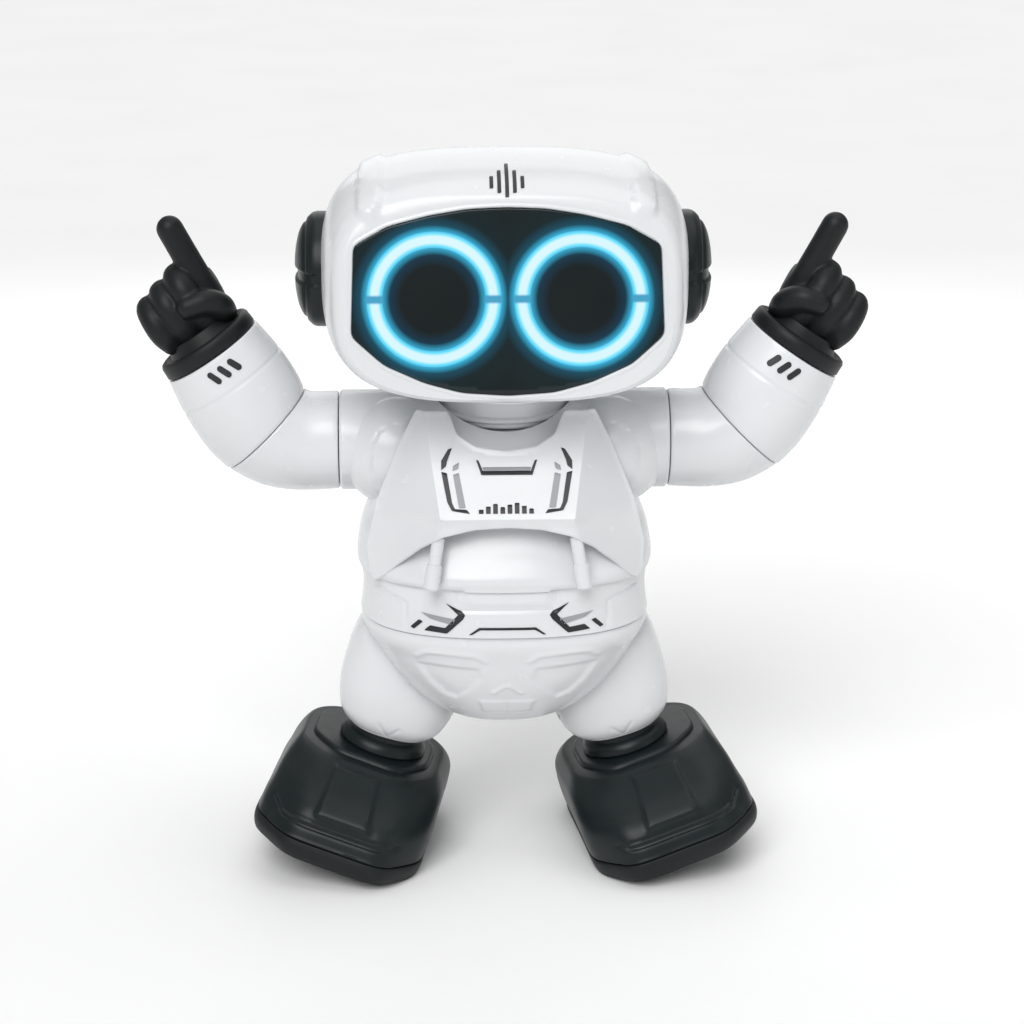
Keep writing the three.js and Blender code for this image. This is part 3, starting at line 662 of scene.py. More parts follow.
# ---- Head ----
# Sections of the head: y, mid height, half width, half height, degrees of lean.
HEAD_ROWS = [
    (-38.2, 163.3, 42.9, 25.8, 12),
    (-37.3, 163.6, 44.2, 26.9, 11.7),
    (-35.2, 164.1, 45.4, 28.0, 11),
    (-31, 164.5, 46.5, 29.2, 9.4),
    (-18, 165.2, 48.4, 30.7, 5),
    (0, 165.4, 48.7, 30.8, 0),
    (16, 164.9, 47, 29.2, -4),
    (28, 164.4, 41.5, 25.2, -8),
    (34.4, 164.2, 32, 19.6, -10),
    (37, 164.2, 21, 13, -10),
    (38.1, 164.2, 10, 6, -10),
    (38.3, 164.2, 0.5, 0.3, -10),
]
HEAD_POWER = 3.2
# Half of the face window's outline, in the plane of the face.
WINDOW_HALF = [(0, 24.4), (10, 24), (20, 22.4), (31, 19.6), (39.6, 14.8), (40.4, -8.6)]
WINDOW_HALF += [(32, -16), (21.6, -20.6), (12, -23.2), (0, -24)]
WINDOW = WINDOW_HALF + [(-x, z) for x, z in WINDOW_HALF[-2:0:-1]]
FACE = Matrix.Translation(FACE_ORIGIN) @ Matrix.Rotation(math.radians(-FACE_TILT), 4, "X")


def face_points(x, up, depth):
    """Places given in the plane of the face, in part millimetres."""
    lean = math.radians(FACE_TILT)
    x, up, depth = np.broadcast_arrays(x, up, depth)
    y = FACE_ORIGIN[1] + depth * math.cos(lean) + up * math.sin(lean)
    z = FACE_ORIGIN[2] - depth * math.sin(lean) + up * math.cos(lean)
    return np.stack([x, y, z], axis=-1)


def window_ring(grow, depth):
    """The window's outline moved outwards, in step with the head's first section."""
    _, middle, width, height, _ = HEAD_ROWS[0]
    loop = inset(resampled(WINDOW, 0.5, 6), -grow) / (width, height)
    rim = np.column_stack(round_unit(HEAD_POWER)) + (0, (middle - FACE_ORIGIN[2]) / height)
    angles = turns(AROUND)
    reach = np.minimum(reach_of(loop, angles, 2), 0.99 * reach_of(rim, angles))
    return face_points(width * np.cos(angles) * reach, height * np.sin(angles) * reach, depth)


def head_form():
    rings = [
        window_ring(-0.2, 3.6),
        window_ring(0, 0.5),
        window_ring(0.15, 0.05),
        window_ring(0.5, -0.15),
        window_ring(0.9, -0.05),
        window_ring(1.2, 0.15),
    ]
    for y, z, width, height, lean in spline(HEAD_ROWS, 1.0):
        up = (0, math.sin(math.radians(lean)), math.cos(math.radians(lean)))
        rings.append(section((0, y, z), (1, 0, 0), up, width, height, HEAD_POWER))
    return skin("head", rings, (False, True))


def head_ribs(x, y, z):
    rib = line([(35.3, -30.5), (35.1, 60)], 4.6, np.abs(x), y, 1.5)
    return 1.3 * rib * smooth_step((z - 171) / 4)


def drop_faces(piece, unwanted):
    """Opens a hidden hole: unwanted(x, y, z) is true inside it."""
    bm = bmesh.new()
    bm.from_mesh(piece.data)
    gone = [f for f in bm.faces if unwanted(*in_part(f.calc_center_median()))]
    bmesh.ops.delete(bm, geom=gone, context="FACES")
    bm.to_mesh(piece.data)
    bm.free()
    return piece


def make_head():
    form = emboss(head_form(), head_ribs)
    drop_faces(form, lambda x, y, z: math.hypot(x, y) < 10 and z < 145)
    front = hollow(half(form, "head_front", -1), WALL)
    rear = hollow(half(form, "head_rear", 1), WALL)
    for k in (-2, -1, 0, 1, 2):
        width = 12 - 2 * abs(k)
        z = 164.5 + 5 * k
        outline = capsule((-width, z), (width, z), 1)
        slot = plate(f"slot{k}", outline, lambda x, z: 0 * x + 25, 20, step=0.4)
        combine(rear, slot, "DIFFERENCE")
    bpy.data.objects.remove(form)
    show(front, WHITE, "head", "white_shell", "head_front_shell")
    show(rear, WHITE, "head", "white_shell", "head_rear_shell")
    return front


def capsule(start, end, radius, points=8):
    """The outline of a stadium round a line."""
    along = math.atan2(end[1] - start[1], end[0] - start[0])
    loop = []
    for centre, first in ((end, along - math.pi / 2), (start, along + math.pi / 2)):
        for k in range(points + 1):
            angle = first + math.pi * k / points
            loop.append((centre[0] + radius * math.cos(angle), centre[1] + radius * math.sin(angle)))
    return loop


def visor_depth(x, up):
    return 0.75 - 1.1 * (1 - (x / 41) ** 2) * (1 - (up / 25) ** 2)


def make_face():
    visor = plate("visor_shape", WINDOW, visor_depth, 2.6, edge=0.5, spacing=1.2, soften=6)
    show(placed(visor, FACE), visor_look(), "head", "visor_black", "visor")
    glow = ring_look()
    for side, sign in SIDES.items():
        ring = eye_ring(f"eye_ring_{side}_shape", sign * EYE_X)
        show(ring, glow, "head", "eye_light", f"eye_ring_{side}")


def eye_ring(name, x):
    """A flat light guide just proud of the visor."""
    angles = turns(120)
    radii = np.linspace(EYE_RADIUS - EYE_BAND, EYE_RADIUS, 9)
    rings = []
    for radius, lift in [(radii[0], -0.9)] + [(r, 0.06) for r in radii] + [(radii[-1], -0.9)]:
        across = x + radius * np.cos(angles)
        up = EYE_UP + radius * np.sin(angles)
        rings.append(face_points(across, up, visor_depth(across, up) - lift))
    ring = skin(name, rings + rings[:1], (False, False))
    bm = bmesh.new()
    bm.from_mesh(ring.data)
    bmesh.ops.remove_doubles(bm, verts=bm.verts, dist=1e-7)
    bm.to_mesh(ring.data)
    bm.free()
    face_outwards(ring)
    return ring


EAR_PROFILE = [
    (15.6, 1.2),
    (15.3, 2.3),
    (14.3, 3.5),
    (11.2, 5.7),
    (6.6, 7.0),
    (3, 7.35),
    (0.01, 7.4),
]


def ear_marks(x, y, z):
    across = np.hypot(y - EAR_CENTRE[1], z - EAR_CENTRE[2])
    notch = line([(-20, 0), (30, 0)], 2.4, y, z - EAR_CENTRE[2], 0.8) * (x > EAR_CENTRE[0] + 1)
    ring = smooth_step((0.7 - np.abs(across - 13.2)) / 0.5)
    return -0.8 * notch - 0.3 * ring * (1 - notch)


def make_ears():
    profile = [(0.01, -2), (15, -2), (15.6, -1.4)] + spline(EAR_PROFILE, 0.35).tolist()
    ear = turned("ear", profile, EAR_CENTRE, (1, 0, 0), 160, smooth=False)
    emboss(ear, ear_marks)
    show_pair(ear, "ear", BLACK, "head", "black_shell")


# ---- Neck ----
def make_neck():
    r = NECK_RADIUS
    collar = [(9, 0.4), (r - 0.4, 0.4), (r, 0.9), (r, 1.7), (r + 0.5, 2.0), (r + 0.85, 2.4)]
    collar += [(r + 0.85, 3.0), (r + 0.5, 3.4), (r, 3.7), (r, 10.8), (r - 0.5, 11.4)]
    collar += [(9, 11.4), (9, 0.4)]
    piece = turned("neck_collar_shape", collar, (0, 0, 122.6), (0, 0, 1), 160, smooth=False)
    show(piece, WHITE, "head", "white_shell", "neck_collar")
    r += 1
    socket = [(9, 0), (r - 0.4, 0), (r, 0.5), (r, 5.2), (r - 0.5, 5.8), (r - 1.6, 6), (9, 6), (9, 0)]
    piece = turned("neck_socket_ring_shape", socket, (0, 0, 116.6), (0, 0, 1), 160, smooth=False)
    show(piece, PEARL, "torso", "pearl_ring", "neck_socket_ring")


# ---- Torso ----
# Sections: z, half width, front y, back y. The belly's lip parts the two rows.
BELT_ROWS = [
    (70.8, 39.6, -38, 27),
    (74, 39.2, -37.3, 27.2),
    (78, 38.9, -36.4, 27.5),
    (82.6, 39.4, -35.6, 27.9),
    (83.3, 39.5, -35.5, 27.95),
]
BELLY_ROWS = [
    (83.7, 40, -36.6, 28),
    (84.3, 40.2, -37, 28),
    (92, 39.8, -34, 28.4),
    (100, 37.3, -30, 28.4),
    (110, 36.4, -28, 28),
    (119, 33, -23, 25),
    (125, 27, -16, 19),
    (127.8, 21.5, -11.4, 13.4),
    (128.4, 16, -8, 10),
]
TORSO_POWER = 2.5
DOOR = [(-27, 77), (27, 77), (27, 110), (22, 113), (-22, 113), (-27, 110)]
SWITCH_Z = 74.6
# Half of the raised panel in the middle of the belt.
BELT_PANEL = [(0, 84), (11.6, 83.9), (10.4, 79.4), (0, 79.4)]
BELT_LINES = [
    [(35.2, 80.7), (27.4, 78.6), (26.9, 71.9)],
    [(13.6, 83), (12.4, 78.2), (0, 78.2)],
]
# The sunk panel on each shoulder pad.
PAD = [(25, 124.6), (30, 124.4), (34, 122), (36, 118)]
PAD += [(36.4, 111), (34.8, 107.2), (31, 105.2), (25, 105)]


def torso_marks(x, y, z):
    front = y < -8
    panel = area(BELT_PANEL + [(-a, b) for a, b in BELT_PANEL[::-1]], x, z, 0.8)
    lines = sum(line(path, 0.4, np.abs(x), z, 0.5) for path in BELT_LINES)
    return front * (0.6 * panel - 0.4 * np.clip(lines, 0, 1) * (1 - panel))


def pad_marks(x, y, z):
    return -0.7 * area(PAD, np.abs(x), z, 0.7) * (y < 0)


def shoulder_pad():
    """The round pad at the front of each shoulder, at +X."""
    rows = [(15.4 * math.sin(a), -15.4 * math.cos(a)) for a in np.linspace(0.01, math.pi - 0.01, 60)]
    pad = turned("pad", rows, (0, 0, 0), (0, 1, 0), 120, smooth=False)
    squeeze = Matrix.Diagonal((0.98, 0.9, 0.98, 1))
    pad = placed(pad, Matrix.Translation((29.5, -5, 113.8)) @ squeeze)
    return emboss(pad, pad_marks)


def torso_form():
    rings = []
    for z, width, front, back in np.vstack([spline(BELT_ROWS, 0.7), spline(BELLY_ROWS, 0.8)]):
        middle = (0, (front + back) / 2, z)
        rings.append(section(middle, (1, 0, 0), (0, 1, 0), width, (back - front) / 2, TORSO_POWER))
    form = emboss(skin("torso", rings), torso_marks)
    end = SHOULDER_X - 0.15
    r = SHOULDER_RADIUS + 0.3
    tube = [(0.01, -end), (r - 0.6, -end), (r, -end + 0.6), (r, end - 0.6), (r - 0.6, end), (0.01, end)]
    combine(form, turned("tube", tube, (0, 0, SHOULDER_Z), (1, 0, 0), 96, smooth=False), "UNION")
    pad = shoulder_pad()
    combine(form, mirrored(pad, "other_pad"), "UNION")
    combine(form, pad, "UNION")
    well = [(0.01, 0), (NECK_RADIUS + 1.4, 0), (NECK_RADIUS + 1.4, 20), (0.01, 20)]
    return combine(form, turned("well", well, (0, 0, 116), (0, 0, 1), 120, smooth=False), "DIFFERENCE")


def make_torso():
    form = torso_form()
    back_of = depth_on(form, 1, 0)
    front = hollow(half(form, "torso_front", -1), WALL)
    rear = hollow(half(form, "torso_rear", 1), WALL)
    doorway = np.array(DOOR) + np.sign(np.array(DOOR) - (0, 95)) * 0.3
    combine(rear, plate("doorway", doorway, lambda x, z: 0 * x + 16, 30, spacing=6), "DIFFERENCE")
    slot = block("slot", (-5, 15, SWITCH_Z - 1.4), (5, 40, SWITCH_Z + 1.2))
    combine(rear, slot, "DIFFERENCE")
    show(front, WHITE, "torso", "white_shell", "torso_front_shell")
    show(rear, WHITE, "torso", "white_shell", "torso_rear_shell")
    make_door(back_of)
    bpy.data.objects.remove(form)
    return front


def make_door(back_of):
    """The battery door, flush with the back, with a round screw hole."""
    door = plate("door", DOOR, lambda x, z: -back_of(x, z), 2, edge=0.5, spacing=1.4)
    flip = Matrix.Diagonal((1, -1, 1, 1))
    placed(door, flip)
    face_outwards(door)
    hole = [(0.01, 0), (2.6, 0), (2.6, 12), (0.01, 12)]
    seat = turned("seat", hole, (0, 26.6, 80), (0, 1, 0), 40, smooth=False)
    combine(door, seat, "DIFFERENCE")
    show(door, WHITE, "torso", "white_shell", "battery_door")


# ---- Chest plate ----
# Sections: z, half width of the front facet, its y, half width at the sides, their y.
SHIELD = [
    (80, 25, -41, 39.8, -20.5),
    (101.4, 17.6, -37, 35.4, -22),
    (104, 17.8, -37.6, 34.4, -21),
    (128, 21.8, -20.5, 27, -15.5),
]
SHIELD_HALF = [
    (0, 119.6),
    (8, 120.6),
    (13, 123.4),
    (15.6, 129),
    (24, 129),
    (29.4, 118),
    (35, 104),
    (37.6, 93),
    (37.2, 85.6),
    (35.4, 83),
    (33, 84.6),
    (29, 89.2),
    (23, 94.8),
    (17.5, 98.6),
    (9, 100.6),
    (0, 101.2),
]


def shield_depth(x, z):
    heights, inner, front, outer, side = np.array(SHIELD).T
    inner, front, outer, side = (np.interp(z, heights, v) for v in (inner, front, outer, side))
    share = np.clip((np.abs(x) - inner) / (outer - inner), 0, 1.1)
    return front + (side - front) * share


def make_chest():
    outline = SHIELD_HALF + [(-x, z) for x, z in SHIELD_HALF[-2:0:-1]]
    creases = [((s * 17.6, 101), (s * 17.8, 104)) for s in (-1, 1)]
    creases += [((s * 17.8, 104), (s * 21.8, 128)) for s in (-1, 1)]
    creases += [((s * 25, 80), (s * 17.6, 101)) for s in (-1, 1)]
    chest = plate("chest_plate_shape", outline, shield_depth, 2.6, 0.7, 0.9, 0.6, 2, creases)
    show(chest, WHITE, "torso", "white_shell", "chest_plate", sharp=40)
    return chest


def make_belly_tubes():
    foot, head = np.array((20.4, -38.6, 84.6)), np.array((18.2, -34.6, 98.4))
    span = np.linalg.norm(head - foot)
    profile = [(0.01, 0), (1.6, 0), (2.1, 0.5), (2.1, 6.7), (1.7, 7.1), (1.7, span - 0.4), (0.01, span)]
    tube = turned("belly_tube", profile, foot, head - foot, 40, smooth=False)
    show_pair(tube, "belly_tube", WHITE, "torso", "white_shell")


# ---- Arms ----
def arm_ring(x, z, tilt, radius):
    lean = math.radians(tilt)
    up = (-math.cos(lean), 0, math.sin(lean))
    return section((x, 0, z), (0, 1, 0), up, radius, radius, 2, 144)


def arm_marks(x, y, z):
    """The joint line of the forearm's cuff band."""
    axis = leaning(FOREARM_TILT)
    along = (x - CUFF[0]) * axis[0] + (z - CUFF[2]) * axis[2]
    return -0.22 * smooth_step((0.6 - np.abs(along + 9.6)) / 0.4)


def make_arms():
    elbow = np.array(ELBOW) + np.outer((-0.1, 0.1), leaning(ELBOW_TILT))
    upper = spline(
        [
            (SHOULDER_X + 0.15, SHOULDER_Z, 90, SHOULDER_RADIUS),
            (54, 115.6, 76, 13.9),
            (60, 116.6, 60, 14.5),
            (elbow[0][0], elbow[0][2], ELBOW_TILT, 14.9),
        ],
        1.6,
    )
    piece = skin("upper_arm", rounded_ends([arm_ring(*row) for row in upper], 0.6))
    show_pair(piece, "upper_arm", WHITE, "arm_{side}", "white_shell")
    fore = spline(
        [
            (elbow[1][0], elbow[1][2], ELBOW_TILT, 15.1),
            (68.6, 124, 39, 15.9),
            (74.35, 133.2, FOREARM_TILT, 15.7),
            (CUFF[0], CUFF[2], FOREARM_TILT, CUFF_RADIUS),
        ],
        0.4,
    )
    piece = skin("forearm", rounded_ends([arm_ring(*row) for row in fore], 0.6, 0.4))
    emboss(piece, arm_marks)
    _, right = show_pair(piece, "forearm", WHITE, "forearm_{side}", "white_shell")
    along, across = leaning(57)[[0, 2]], leaning(FOREARM_TILT + 90)[[0, 2]]
    outlines = []
    for k in (-1, 0, 1):
        middle = np.array((75.0, 138.9)) + 3.2 * k * across
        outlines.append(capsule(middle - 1.4 * along, middle + 1.4 * along, 0.8))
    vents = print_on(right, "cuff_vents_right", outlines, INK, "forearm_right", "black_shell")
    other = mirrored(vents, "cuff_vents_left")
    show(other, INK, "forearm_left", "black_shell", sharp=60)


# ---- Hands: a rubber fist with the first finger pointing up ----
HAND = Matrix.Translation(CUFF) @ turn_y(FOREARM_TILT)
FINGER_RADII = (4.0, 3.8, 3.6)


def dome_ring(ring, angle, side):
    """One ring of the round tip beyond a limb's first (-1) or last (1) ring."""
    at, across, up, axis, radius = ring
    reach = radius * math.sin(angle)
    return section(at + side * axis * radius * math.cos(angle), across, up, reach, reach, 2, 28)


def limb(name, points, radii):
    """A rounded finger through a row of points, one radius at each."""
    rows = spline(np.column_stack([points, radii]), 0.8)
    rings = []
    for k, row in enumerate(rows):
        ahead = rows[min(k + 1, len(rows) - 1)][:3] - rows[max(k - 1, 0)][:3]
        axis = Vector(ahead).normalized()
        across = np.array(axis.cross(Vector((0.3, 1, 0.2))).normalized())
        rings.append((row[:3], across, np.cross(axis, across), np.array(axis), row[3]))
    angles = np.linspace(0.1, math.pi / 2, 6)[:-1]
    shape = [dome_ring(rings[0], a, -1) for a in angles]
    shape += [section(at, across, up, r, r, 2, 28) for at, across, up, _, r in rings]
    shape += [dome_ring(rings[-1], a, 1) for a in angles[::-1]]
    return skin(name, shape)


def fist():
    parts = []
    palm = [
        (5.5, 8.6, 6.2, -0.6),
        (9, 10.4, 7.0, -0.8),
        (14, 11.4, 7.2, -0.8),
        (18, 11.4, 6.8, -1),
        (21, 10.6, 5.6, -1.2),
        (22.6, 8.6, 4.2, -1.4),
    ]
    rings = [section((x, 1.4, z), (1, 0, 0), (0, 1, 0), w, d, 2.6, 48) for z, w, d, x in spline(palm, 1)]
    parts.append(skin("palm", rounded_ends(rings, 1.5, 3)))
    for k, x in enumerate((-4.4, 1.5, 6.9)):
        r = FINGER_RADII[k]
        top = 21.8 - 1.4 * k
        knuckle = [(x, 2.4, top - 1), (x + 0.1, -1.2, top + 0.2), (x + 0.2, -4.6, top - 2.2)]
        tip = [(x + 0.3, -5.6, top - 7.5), (x + 0.1, -4.4, 8.4)]
        parts.append(limb(f"finger{k}", knuckle + tip, [r * 0.92, r, r, r * 0.97, r * 0.86]))
    pointer = [(-8.0, 1, 13), (-8.6, -0.6, 18), (-9.4, -1, 25), (-10.3, -1, 33.8)]
    parts.append(limb("pointer", pointer, [4.2, 3.9, 3.7, 3.65]))
    thumb = [(-8.8, -1.0, 7.0), (-9.6, -4.2, 9.4), (-7.4, -7.4, 13.2), (-3.2, -8.4, 14.6)]
    parts.append(limb("thumb", thumb, [3.8, 3.8, 3.6, 3.1]))
    hand = join(parts, "fist")
    blend = hand.modifiers.new("blend", "REMESH")
    blend.mode = "VOXEL"
    blend.voxel_size = 0.00042
    soften = hand.modifiers.new("soften", "SMOOTH")
    soften.factor = 0.5
    soften.iterations = 5
    return finish_modifiers(hand)


def make_hands():
    cuff = [(0.01, 0.4), (13.9, 0.4), (14.2, 0.7), (14.0, 3.6), (13.6, 4.3), (12.9, 4.6)]
    cuff += [(11.6, 4.5), (11.2, 4.2), (10.6, 4.2), (10.2, 4.8), (9.2, 7.2), (0.01, 7.4)]
    base = turned("cuff", cuff, (0, 0, 0), (0, 0, 1), 120, smooth=False)
    hand = placed(join([fist(), base], "hand"), HAND)
    show_pair(hand, "hand", SOFT_BLACK, "forearm_{side}", "soft_black", sharp=50)


# ---- Pelvis ----
BOWL_ROWS = [
    (38, 4.4, 4.6),
    (38.5, 8.2, 8.6),
    (39.6, 12.2, 12.8),
    (42.4, 18.5, 18.5),
    (47.4, 25.4, 23.8),
    (54, 31, 28.2),
    (62, 36.2, 31),
    (69.8, 39.4, 32.4),
    (70.4, 39.2, 32.2),
]
BROW = [(6, 63.5), (8.7, 65.3), (18.1, 66), (22.1, 65.8), (24.3, 64.1)]
DROP = [(7.9, 60.9), (21.3, 61.7), (24, 61.5), (20.8, 56.2)]
DROP += [(16.8, 52.1), (13.5, 51), (10.8, 53.3), (7.3, 57.6)]
CHIN = [(0, 50.4), (7.6, 50.4), (6.4, 46.2), (0, 46.2)]
HUMP = [(-3.8, 53.2), (-0.6, 55.6), (0.6, 55.6), (3.8, 53.2)]


def bowl_marks(x, y, z):
    front = y < -10
    lines = line(BROW, 0.5, np.abs(x), z, 0.8) + line(HUMP, 0.4, x, z, 0.7)
    drop = area(DROP, np.abs(x), z, 1.6)
    chin = area(CHIN, np.abs(x), z, 1.0)
    return front * (0.35 * np.clip(lines, 0, 1) - 0.55 * drop + 0.35 * chin)


def bowl(name, grow, around=AROUND, step=0.5):
    """The pelvis bowl, with its skin moved outwards."""
    rings = []
    for z, width, depth in spline(BOWL_ROWS, step):
        size = (width + grow, depth + grow)
        rings.append(section((0, BOWL_Y, z), (1, 0, 0), (0, 1, 0), *size, 2.6, around))
    return skin(name, rings)


def leg_slot(name, grow=0):
    return block(name, (11.6 - grow, LEG_Y - 14.8 - grow, 20), (60, LEG_Y + 14.8 + grow, 67.8 + grow))


def make_pelvis():
    form = emboss(bowl("bowl", 0), bowl_marks)
    shells = {}
    for name, side in (("pelvis_front", -1), ("pelvis_rear", 1)):
        shell = hollow(half(form, name, side), WALL)
        slot = leg_slot("slot")
        combine(shell, mirrored(slot, "other_slot"), "DIFFERENCE")
        combine(shell, slot, "DIFFERENCE")
        shells[name] = show(shell, WHITE, "pelvis", "white_shell", name + "_shell")
    bpy.data.objects.remove(form)
    return shells["pelvis_front"]


# ---- Legs ----
LEG_AXIS = leaning(-LEG_SPLAY)
LEG_ROWS = [
    (5.6, 11.6, 11.4),
    (8.4, 14.4, 13.2),
    (14, 16.4, 14),
    (24, 17.2, 14),
    (33, 16.6, 14),
    (38.6, 14.6, 12.8),
    (40, 13.0, 11.6),
]
CHEVRON = [(29.4, 36.6), (33.0, 34.4), (35.2, 38.4)]


def leg_form(name, grow):
    across = leaning(90 - LEG_SPLAY)
    rings = []
    for height, width, depth in spline(LEG_ROWS, 0.7):
        middle = np.array(ANKLE) + LEG_AXIS * height
        rings.append(section(middle, across, (0, 1, 0), width + grow, depth + grow, 2.4, 200))
    return skin(name, rings if grow else rounded_end(rings[::-1], 0.6)[::-1])


def leg_marks(x, y, z):
    return -0.25 * line(CHEVRON, 0.3, x, z, 0.4) * (y < -8)


def make_legs():
    leg = emboss(leg_form("leg", 0), leg_marks)
    bore = [(0.01, -1), (10.9, -1), (10.9, 9), (0.01, 9)]
    mouth = turned("mouth", bore, ANKLE, LEG_AXIS, 80, smooth=False)
    combine(leg, mouth, "DIFFERENCE")
    for angle in (-2, 3, 8, 12.5):
        cover = bowl("cover", 1.0, 96, 2)
        combine(cover, bowl("inside", -2.7, 96, 2), "DIFFERENCE")
        combine(cover, leg_slot("slot", -0.5), "DIFFERENCE")
        combine(cover, block("lid", (-1, -30, 67.2), (60, 30, 90)), "UNION")
        about = Matrix.Translation(HIP) @ turn_y(-angle) @ Matrix.Translation(-Vector(HIP))
        combine(leg, placed(cover, about), "DIFFERENCE")
    keep_largest(leg)
    show_pair(leg, "leg_shell", WHITE, "leg_{side}", "white_shell")


def keep_largest(piece):
    """Drops the crumbs that a cut leaves."""
    bm = bmesh.new()
    bm.from_mesh(piece.data)
    left = set(bm.verts)
    islands = []
    while left:
        grown, edge = set(), [left.pop()]
        while edge:
            vert = edge.pop()
            grown.add(vert)
            for link in vert.link_edges:
                other = link.other_vert(vert)
                if other in left:
                    left.remove(other)
                    edge.append(other)
        islands.append(grown)
    islands.sort(key=len, reverse=True)
    bmesh.ops.delete(bm, geom=[v for island in islands[1:] for v in island], context="VERTS")
    bm.to_mesh(piece.data)
    bm.free()
    return piece


# ---- Boots ----
ANKLE_FRAME = Matrix.Translation(ANKLE) @ turn_y(-LEG_SPLAY)
FOOT = ANKLE_FRAME @ Matrix.Rotation(math.radians(TOE_OUT), 4, "Z")
# Boot sections: z, inner side, outer side, front, back, corner cut.
SOLE_ROWS = [
    (-25.7, -19.6, 26, -39.6, 28, 9),
    (-24, -20.3, 26.9, -40.6, 28.7, 9),
    (-21.4, -20.8, 27.4, -41, 29, 9),
    (-20, -20.8, 27.2, -40.6, 29, 9),
]
BOOT_ROWS = [
    (-19.7, -20.6, 27, -40.2, 28.8, 9),
    (-16, -20.9, 26.6, -39, 28.6, 9),
    (-12, -21, 25.6, -37, 28, 9),
    (-8.4, -20.8, 24.8, -33, 27, 8.6),
    (-5, -20.2, 23.6, -27.6, 25.6, 8),
    (-2, -18.2, 22, -22.4, 22.8, 7.4),
    (0, -14.6, 19.4, -16.6, 18.6, 7),
]
FOOT_MIDDLE = (2, -2)


def boot_ring(z, inner, outer, front, back, cut):
    corners = [
        (inner + cut, front),
        (outer - 1.2 * cut, front + 2),
        (outer, front + 1.5 * cut),
        (outer, back - cut),
        (outer - cut, back),
        (inner + cut, back),
        (inner, back - cut),
        (inner, front + 1.4 * cut),
    ]
    angles = turns(260)
    rounding = int(np.interp(z, (-20, -10, 0), (16, 28, 60)))
    reach = reach_of(np.array(corners) - FOOT_MIDDLE, angles, rounding)
    x = FOOT_MIDDLE[0] + reach * np.cos(angles)
    y = FOOT_MIDDLE[1] + reach * np.sin(angles)
    return np.stack([x, y, np.full(x.shape, z)], axis=1)


def boot_marks(x, y, z):
    """Toe groove and instep panel, in the boot's own frame."""
    front = y < -12
    groove = line([(-13.5, -14.2), (-10.5, -15.6), (20, -15.6), (23, -13.6)], 0.5, x, z, 0.5)
    second = line([(-11, -14.2), (20, -14.2)], 0.2, x, z, 0.4)
    instep = area([(-4.5, -12.6), (-3, -2.5), (9.5, -2.5), (10.5, -12.6)], x, z, 1.6)
    toe = area([(-14.5, -22), (-12, -16.4), (21.5, -16.4), (24, -22)], x, z, 1.0)
    return front * (0.9 * instep + 0.2 * toe - 0.5 * groove - 0.2 * second)


def make_feet():
    rings = [boot_ring(*row) for row in spline(BOOT_ROWS, 0.45)]
    boot = skin("boot", rounded_ends(rings, 0.4, 1.2))
    boot = emboss(boot, boot_marks)
    placed(boot, FOOT)
    show_pair(boot, "foot_upper", BLACK, "leg_{side}", "black_shell")
    rings = [boot_ring(*row) for row in spline(SOLE_ROWS, 0.45)]
    sole = placed(skin("sole", rounded_ends(rings, 0.8, 0.4)), FOOT)
    combine(sole, block("ground", (-60, -90, -30), (120, 90, 0)), "DIFFERENCE")
    show_pair(sole, "foot_sole", SOLE, "leg_{side}", "soft_black")
    profile = [(0.01, 0.2), (12.2, 0.3), (12.4, 0.8), (12.2, 1.8), (11.6, 3.0), (10.8, 3.5)]
    profile += [(10.3, 3.9), (10.2, 4.6), (10.2, 9), (9.8, 9.4), (0.01, 9.4)]
    collar = placed(turned("collar", profile, (0, 0, 0), (0, 0, 1), 120, smooth=False), ANKLE_FRAME)
    show_pair(collar, "ankle_collar", BLACK, "leg_{side}", "black_shell")


# ---- Prints ----
CHEST_INK = [
    [(14.5, 120.3), (15.5, 120.1), (17.4, 117.4), (17.4, 115.3), (16.1, 116.2), (15.8, 117.4)],
    [
        (17.4, 114.9), (15.9, 108), (14.7, 106), (9.9, 105.3),
        (10.7, 106.2), (13.9, 106.4), (14.6, 107.8), (15.9, 114.6),
    ],
]
CHEST_GREY = [
    [(14.2, 116.2), (12.6, 117.1), (12.9, 115.5), (14.5, 115.1)],
    [(14.3, 114.2), (12.7, 114.6), (11, 106.6), (12.8, 106.6)],
]
CHEST_BAND = [(-6.2, 115.1), (6.2, 115.1), (6.5, 115.9), (-6.5, 115.9)]
CHEST_BAR = [(-6.8, 115), (-6.8, 114.1), (6.8, 114.1), (6.8, 115)]
CHEST_TICKS = [
    [(side * 8.1, 117.5), (side * 7.5, 117.5), (side * 6.3, 115), (side * 6.8, 114.1)]
    for side in SIDES.values()
]
BELT_INK = [
    [
        (16.4, 79.7), (12.1, 77.7), (11.3, 76.8), (11.9, 75.7), (16.2, 71.8),
        (22.3, 72.2), (20.7, 73.6), (16.7, 73.2), (13.2, 76.8),
    ],
    [(25, 72.2), (22.6, 74.4), (23.7, 74.8), (26, 72.6)],
]
BELT_GREY = [[(23.1, 76.8), (14, 75.6), (14.8, 74.1), (20.7, 75.4)]]
BELT_BAR = [(-10.3, 71.7), (-7.6, 73.6), (7.6, 73.6), (10.3, 71.7)]
BELT_BAR += [(9.6, 71.7), (7.3, 73), (-7.3, 73), (-9.6, 71.7)]
LEVELS = (0.9, 1.6, 2.2, 1.5, 2, 2.4, 1.7, 1.1)  # bar heights of a sound level display


def rectangle(x0, x1, z0, z1):
    return [(x0, z0), (x1, z0), (x1, z1), (x0, z1)]


